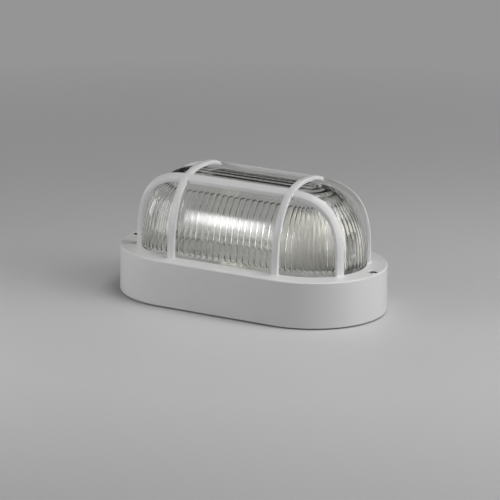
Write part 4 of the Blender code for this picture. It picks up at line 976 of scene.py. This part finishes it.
# %% Geometry Nodes that cast the bars
def bar_tree():
    tree, given = new_tree("cast_bars", {
        "Lines": "Geometry", "Section": "Object", "Foot Fillet": 1.0, "Inner Fillet": 1.0,
        "Corner Fillet": 1.0, "Half Thickness": BAR_THICKNESS / 2,
    })
    lines = add_node(tree, "GeometryNodeMeshToCurve", sockets={"Mesh": given["Lines"]})
    out = remembered(tree, "outward", "FLOAT_VECTOR")
    turned = add_node(tree, "GeometryNodeSetCurveNormal", {"mode": "FREE"}, {"Curve": lines, "Normal": out})
    sockets = {"Object": given["Section"]}
    section = add_node(tree, "GeometryNodeObjectInfo", sockets=sockets, output="Geometry")
    outline = add_node(tree, "GeometryNodeMeshToCurve", sockets={"Mesh": section})
    sockets = {"Curve": turned, "Profile Curve": outline, "Fill Caps": True}
    bars = add_node(tree, "GeometryNodeCurveToMesh", sockets=sockets)
    foot = remembered(tree, "foot_swell") * given["Foot Fillet"]
    corner = remembered(tree, "corner_swell") * given["Corner Fillet"]
    face = remembered(tree, "face")
    tipped = remembered(tree, "lean") * face * given["Half Thickness"]
    sideways = remembered(tree, "side") * foot.math("MAXIMUM", corner) + tipped
    outwards = (face.math("MAXIMUM", 0.0) + face.math("MINIMUM", 0.0) * given["Inner Fillet"]) * foot
    across = remembered(tree, "across", "FLOAT_VECTOR")
    sockets = {0: scaled(tree, across, sideways), 1: scaled(tree, out, outwards)}
    push = add_node(tree, "ShaderNodeVectorMath", {"operation": "ADD"}, sockets)
    swollen = add_node(tree, "GeometryNodeSetPosition", sockets={"Geometry": bars, "Offset": push})
    return leave_with(tree, swollen, "white_enamel")


cast_bars = bar_tree()
rail_fillets = {"Foot_Fillet": 0.8, "Inner_Fillet": 0.0, "Corner_Fillet": 0.0}
add_modifier_tree(hoops, cast_bars, Section=hoop_section, Inner_Fillet=0.6)
add_modifier_tree(rails, cast_bars, Section=rail_section, **rail_fillets)
for bars in (hoops, rails):
    settled(bars)
    forget(bars, "outward", "across", "foot_swell", "corner_swell", "lean", "side", "face")
    builder = bmesh.new()
    builder.from_mesh(bars.data)
    bmesh.ops.remove_doubles(builder, verts=builder.verts, dist=1e-7)
    bmesh.ops.recalc_face_normals(builder, faces=builder.faces)
    builder.to_mesh(bars.data)
    builder.free()
    print(bars.name, "have", len(bars.data.polygons), "faces")
for section in (hoop_section, rail_section):
    bpy.data.objects.remove(section, do_unlink=True)

# %% [markdown]
# Union makes one casting of skirt, rim and bars. Holes for the screws come last, as they
# would in the workshop. The faces that a union leaves are very unequal in size, and
# plain smooth shading would smear the large flat ones, so each normal is weighted by the
# size of its faces before the piece is used.

# %% One casting, with its holes
SHANK_RADIUS = 0.00175
HEAD_RADIUS = 0.0032
CLIP_SCREW_RADIUS = 0.0015
SLACK = 0.0003
SHANK_HOLE = SHANK_RADIUS + SLACK
HEAD_HOLE = HEAD_RADIUS + 0.0004
HEAD_HOLE_EDGE = 0.0003
COUNTERBORE_FLOOR = COVER_HEIGHT - 0.003
CLIP_HOLE = CLIP_SCREW_RADIUS + SLACK
CLIP_HOLE_TOP = FLANGE_UNDERSIDE + 0.0041


def screw_holes():
    """Stepped holes for the cover screws, and blind ones for the screws of the clips."""
    builder = bmesh.new()
    below = RIM_UNDERSIDE - SCREW_BOSS_DROP - SLACK
    wide = HEAD_HOLE + HEAD_HOLE_EDGE
    stepped = [
        (SHANK_HOLE, below), (SHANK_HOLE, COUNTERBORE_FLOOR), (HEAD_HOLE, COUNTERBORE_FLOOR),
        (HEAD_HOLE, COVER_HEIGHT - HEAD_HOLE_EDGE), (wide, COVER_HEIGHT), (wide, COVER_HEIGHT + 0.003),
    ]
    blind = [(CLIP_HOLE, FLANGE_UNDERSIDE - SLACK), (CLIP_HOLE, CLIP_HOLE_TOP)]
    for places, profile in ((SCREW_PLACES, stepped), (CLIP_PLACES, blind)):
        for x, y in places:
            add_turned(builder, profile, (x, y, 0))
    return new_piece("screw_holes", builder)


def weighted(piece, angle):
    """Smooth shading across soft edges, with each normal weighted by the size of its faces."""
    shade(piece.data, angle)
    change = piece.modifiers.new("weighted", "WEIGHTED_NORMAL")
    change.keep_sharp = True
    return settled(piece)


combine(caged_cover, hoops, "UNION")
combine(caged_cover, rails, "UNION")
combine(caged_cover, screw_holes(), "DIFFERENCE")
weighted(caged_cover, angle=32.0)
take_over(caged_cover, "white_enamel", "front_cover")

# %% [markdown]
# The two cover screws sit in counterbores, just below the rim. A screw is the same each
# time, so it is modelled once at the origin, and a small tree puts a copy on each point,
# turned as the last turn of the screwdriver left it.

# %% One cover screw
SEAT_BELOW_TOP = 0.0017
HEAD_HEIGHT = 0.0020
HEAD_ROUND = 0.0011
HEAD_FOOT = 0.0001
NECK_ROUND = 0.0003
TIP_LENGTH = 0.001
RECESS_REACH = 0.0021
RECESS_ARM = 0.00045
RECESS_DEPTH = 0.0013
screw_low, screw_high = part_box("cover_screw_left")
SCREW_SEAT = screw_high[2] - SEAT_BELOW_TOP
SHANK_LENGTH = SCREW_SEAT - screw_low[2]


def screw_blank():
    """A pan-head screw before its recess, its head's underside at height 0."""
    point = [(SHANK_RADIUS * 0.55, -SHANK_LENGTH), (SHANK_RADIUS, -SHANK_LENGTH + TIP_LENGTH)]
    neck = arc((SHANK_RADIUS + NECK_ROUND, -NECK_ROUND), NECK_ROUND, 180, 90, 3)
    foot = [(HEAD_RADIUS - HEAD_FOOT, 0.0), (HEAD_RADIUS, HEAD_FOOT)]
    side = arc((HEAD_RADIUS - HEAD_ROUND, HEAD_HEIGHT - HEAD_ROUND - HEAD_FOOT), HEAD_ROUND, 0, 75, 8)
    shoulder, drop = side[-1][0], HEAD_HEIGHT - side[-1][1]
    radii = [shoulder * (1 - step / 5.4) for step in range(1, 6)]
    swell = [(radius, HEAD_HEIGHT - drop * (radius / shoulder) ** 2) for radius in radii]
    builder = bmesh.new()
    add_turned(builder, point + neck + foot + side + swell, (0, 0, 0), facets=40)
    return new_piece("cover_screw", builder)


def cross_recess():
    """A tapered cross, as the punch that makes the recess has it."""
    rings = []
    for height, reach, arm in (
        (HEAD_HEIGHT - RECESS_DEPTH, RECESS_REACH * 0.45, RECESS_ARM * 0.7),
        (HEAD_HEIGHT, RECESS_REACH, RECESS_ARM),
        (HEAD_HEIGHT + OVERLAP, RECESS_REACH * 1.4, RECESS_ARM * 1.2),
    ):
        ring = []
        for angle in circle(4):
            c, s = math.cos(angle), math.sin(angle)
            for x, y in ((arm, -arm), (reach, -arm), (reach, arm)):
                ring.append(Vector((x * c - y * s, x * s + y * c, height)))
        rings.append(ring)
    builder = bmesh.new()
    skin_rings(builder, rings, caps=True)
    return new_piece("recess", builder)


screw_form = screw_blank()
combine(screw_form, cross_recess(), "DIFFERENCE")
weighted(screw_form, angle=40.0)
print("one cover screw has", len(screw_form.data.polygons), "faces")


# %% Geometry Nodes that set the screws in their places
def screw_tree():
    tree, given = new_tree("set_screws", {"Places": "Geometry", "Screw": "Object", "Size": 1.0})
    angle = add_node(tree, "ShaderNodeCombineXYZ", sockets={"Z": remembered(tree, "turn")})
    form = add_node(tree, "GeometryNodeObjectInfo", sockets={"Object": given["Screw"]}, output="Geometry")
    sockets = {"Points": given["Places"], "Instance": form, "Rotation": angle, "Scale": given["Size"]}
    copies = add_node(tree, "GeometryNodeInstanceOnPoints", sockets=sockets)
    return leave_with(tree, copies, "cover_screw_steel")


def screws_at(places, degrees):
    """The cover screws, each at its own place and turn."""
    points = [(x, y, SCREW_SEAT) for x, y in places]
    piece = bare_piece("cover_screws", points, [], turn=[math.radians(turn) for turn in degrees])
    add_modifier_tree(piece, screw_tree(), Screw=screw_form)
    settled(piece)
    forget(piece, "turn")
    return piece


cover_screws = screws_at(SCREW_PLACES, (48.0, 24.0))
bpy.data.objects.remove(screw_form, do_unlink=True)
take_over(cover_screws, "cover_screw_steel", "cover_screw_left", "cover_screw_right")

# %% [markdown]
# The lamp holder shows through the glass at the right end as a pale blurred drum. It is
# turned porcelain with soft glazed edges and a groove round its waist, bored from its
# mouth. Its place and size are read from the frame, so it always sits on its bracket.

# %% Porcelain lamp holder
THREAD_RADIUS = 0.0135
THREAD_DEPTH = 0.0005
SHELL_SHEET = 0.0004
holder_low, holder_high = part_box("lamp_holder_body")
MOUTH_X, REAR_X = holder_low[0], holder_high[0]
AXIS_Z = (holder_low[2] + holder_high[2]) / 2
HOLDER_RADIUS = (holder_high[2] - holder_low[2]) / 2
REAR_RADIUS = 0.018
BORE_RADIUS = THREAD_RADIUS + THREAD_DEPTH + SHELL_SHEET + SLACK
BORE_EDGE = 0.0005
BORE_FLOOR = MOUTH_X + 0.032
SKIRT_END = MOUTH_X + 0.030
MOUTH_ROUND = 0.0014
WAIST_ROUND = 0.001
REAR_ROUND = 0.0012
LEAD_HOLE_X = (SKIRT_END + 0.004 + REAR_X) / 2
LEAD_HOLE_Y = 0.008
LEAD_HOLE_DEPTH = 0.0027
HOLE_RADIUS = 0.0018


def holder_body():
    mouth = arc((HOLDER_RADIUS - MOUTH_ROUND, MOUTH_X + MOUTH_ROUND), MOUTH_ROUND, -90, 0, 6)
    waist = arc((HOLDER_RADIUS - WAIST_ROUND, SKIRT_END - WAIST_ROUND), WAIST_ROUND, 0, 45, 3)
    slope = arc((REAR_RADIUS + WAIST_ROUND, SKIRT_END + 0.0044), WAIST_ROUND, 225, 180, 3)
    rear = arc((REAR_RADIUS - REAR_ROUND, REAR_X - REAR_ROUND), REAR_ROUND, 0, 90, 5)
    bore = [(BORE_RADIUS, BORE_FLOOR), (BORE_RADIUS, MOUTH_X + BORE_EDGE), (BORE_RADIUS + BORE_EDGE, MOUTH_X)]
    builder = bmesh.new()
    add_turned(builder, bore + mouth + waist + slope + rear, (0, 0, AXIS_Z), axis="X", facets=72)
    return new_piece("porcelain_holder", builder)


def holder_holes():
    """Holes for the two leads, for the two fixing screws and for the two contacts."""
    builder = bmesh.new()
    lead_end = AXIS_Z - math.sqrt(REAR_RADIUS ** 2 - LEAD_HOLE_Y ** 2) + LEAD_HOLE_DEPTH
    lead = [(HOLE_RADIUS, AXIS_Z - HOLDER_RADIUS), (HOLE_RADIUS, lead_end)]
    screw = [(HOLE_RADIUS, REAR_X - 0.0058), (HOLE_RADIUS, REAR_X + 0.002)]
    contact = [(0.0013, BORE_FLOOR - SLACK), (0.0013, BORE_FLOOR + 0.004)]
    for side in (-1, 1):
        add_turned(builder, lead, (LEAD_HOLE_X, side * LEAD_HOLE_Y, 0), facets=16)
        add_turned(builder, screw, (0, 0, AXIS_Z + side * 0.007), axis="X", facets=16)
        add_turned(builder, contact, (0, 0, AXIS_Z + side * 0.0085), axis="X", facets=16)
    return new_piece("holder_holes", builder)


porcelain_holder = holder_body()
combine(porcelain_holder, holder_holes(), "DIFFERENCE")
weighted(porcelain_holder, angle=40.0)
take_over(porcelain_holder, "white_porcelain", "lamp_holder_body")


# %% Threaded shell
SHELL_FROM_MOUTH = 0.003
SHELL_LENGTH = 0.025
THREAD_PITCH = 0.0036
SHELL_ROWS = 84
SHELL_FACETS = 60


def shell_rings(extra):
    """Rings of the round thread, standing out by something extra."""
    rings = []
    for row in range(SHELL_ROWS + 1):
        along = SHELL_LENGTH * row / SHELL_ROWS
        points = []
        for angle in circle(SHELL_FACETS):
            wave = math.cos(2 * math.pi * along / THREAD_PITCH - angle)
            reach = THREAD_RADIUS + THREAD_DEPTH * wave + extra
            y, z = reach * math.cos(angle), AXIS_Z + reach * math.sin(angle)
            points.append(Vector((MOUTH_X + SHELL_FROM_MOUTH + along, y, z)))
        rings.append(points)
    return rings


def lamp_shell():
    """Sheet brass rolled to the round thread of a lamp cap."""
    builder = bmesh.new()
    skin_rings(builder, shell_rings(SHELL_SHEET) + list(reversed(shell_rings(0.0))), closed=True)
    return new_piece("threaded_shell", builder, smooth=60.0)


threaded_shell = lamp_shell()
take_over(threaded_shell, "brass", "lamp_holder_shell")

# %% [markdown]
# The studio is a plain pale floor and eight soft lamps. One narrow tall panel glints in
# the front of the glass. Panels at both ends leave the middle of the skirt a little
# darker, a higher one and one overhead light the rim, a low one lights the back, and the
# world is nearly dark. The floor throws little light up onto the skirt, and it stays pale
# far away, because a Light Path node shows its own colour only to the rays that see it.

# %% Floor
FLOOR_BELOW = 0.0003
FLOOR_RADII = (0.001, 1.0, 4.0, 12.0)
FADE_FROM, FADE_TO = 0.25, 0.85


def grey(value):
    """A grey as sockets want it."""
    return value, value, value, 1.0


def floor_finish(name):
    """A pale floor for the rays that see it, and a dull one for the light that it throws back."""
    tints = (0.65, 0.65, 0.65), (0.67, 0.67, 0.67)
    tree, shader, where, _ = drifting(name, (0.66, 0.66, 0.66), 0.55, size=0.4, tints=tints)
    x, y = axis_of(tree, where, "X"), axis_of(tree, where, "Y")
    far = (((x * x + y * y).math("SQRT") - FADE_FROM) / (FADE_TO - FADE_FROM)).clamped()
    even = add_node(tree, "ShaderNodeEmission", sockets={"Color": grey(0.30)})
    pale = mix_shaders(tree, far, Wire(tree, shader.outputs["BSDF"]), even)
    dull = add_node(tree, "ShaderNodeBsdfDiffuse", sockets={"Color": grey(0.22)})
    rays = ("Is Camera Ray", "Is Glossy Ray", "Is Transmission Ray")
    direct, glossy, through = (add_node(tree, "ShaderNodeLightPath", output=ray) for ray in rays)
    blend = mix_shaders(tree, (direct + glossy + through).clamped(), dull, pale)
    plug(tree, tree.nodes["Material Output"].inputs["Surface"], blend)


def floor():
    builder = bmesh.new()
    rings = []
    for radius in FLOOR_RADII:
        rings.append([Vector((radius * math.cos(a), radius * math.sin(a), -FLOOR_BELOW)) for a in circle(64)])
    rows = skin_rings(builder, rings)
    builder.faces.new(rows[0])
    piece = new_piece("studio_floor", builder)
    clad(piece, "studio_floor")
    return piece


floor_finish("studio_floor")
studio_floor = floor()
print("floor at", round(1000 * studio_floor.data.vertices[0].co.z, 2), "mm")


# %% Lamps
AIM = Vector((0.0, 0.0, 0.05))
GLINT = Vector((0.0125, 0.0, 0.065))


def set_up_lamp(name, place, axes, size, radiance):
    """A rectangular lamp at a place, with its own width, height and backward directions."""
    lamp = bpy.data.lights.new(name, "AREA")
    lamp.shape = "RECTANGLE"
    lamp.size, lamp.size_y = size
    lamp.energy = radiance * math.pi * size[0] * size[1]
    item = add_object(name, lamp)
    stand_at(item, place, *axes)
    return item


def panel(name, turn, height, distance, size, radiance):
    """A soft panel that looks at the light from a turn and a height in degrees."""
    turn, height = math.radians(turn), math.radians(height)
    away = Vector((math.cos(height) * math.cos(turn), math.cos(height) * math.sin(turn), math.sin(height)))
    wide = Vector((-math.sin(turn), math.cos(turn), 0.0))
    return set_up_lamp(name, AIM + away * distance, (wide, away.cross(wide), away), size, radiance)


def window(distance, tilt, size, radiance, slant):
    """The panel whose reflection is the soft bright band along the front of the glass."""
    aside = back.x
    reach = math.sqrt(1 - aside ** 2)
    lean = math.radians(tilt)
    away = Vector((-aside, -reach * math.cos(lean), reach * math.sin(lean)))
    tall = Vector((0.0, math.sin(lean), math.cos(lean)))
    item = set_up_lamp("window", GLINT + away * distance, (tall.cross(away), tall, away), size, radiance)
    item.data.use_nodes = True
    tree = item.data.node_tree
    spot = add_node(tree, "ShaderNodeNewGeometry", output="Parametric")
    u = axis_of(tree, spot, "X") * 2.0 - 1.0
    v = axis_of(tree, spot, "Y") * 2.0 - 1.0 - u * slant
    wide_fade = (1.0 - u * u).clamped()
    tall_fade = (1.0 - v * v).clamped()
    fade = wide_fade * wide_fade * tall_fade * tall_fade
    plug(tree, tree.nodes["Emission"].inputs["Strength"], fade)


window(0.55, 20.5, (0.102, 0.20), 17.0, slant=0.08)
panel("left_soft", -138.0, 12.0, 0.7, (0.42, 0.42), 1.7)
panel("front_left", -112.0, 8.0, 1.3, (0.8, 0.5), 1.4)
panel("right_low", 8.0, 14.0, 1.2, (0.5, 0.9), 3.3)
panel("right_front", -15.0, 12.0, 1.2, (0.5, 0.8), 1.9)
panel("right_high", 10.0, 45.0, 0.9, (0.6, 0.5), 2.4)
panel("overhead", 20.0, 75.0, 2.2, (0.9, 0.9), 5.2)
panel("rear_fill", 168.0, 4.0, 1.5, (0.6, 0.3), 2.4)
world = bpy.data.worlds.new("studio")
bpy.context.scene.world = world
world.use_nodes = True
night = world.node_tree.nodes["Background"]
night.inputs["Color"].default_value = grey(0.01)
night.inputs["Strength"].default_value = 1.0
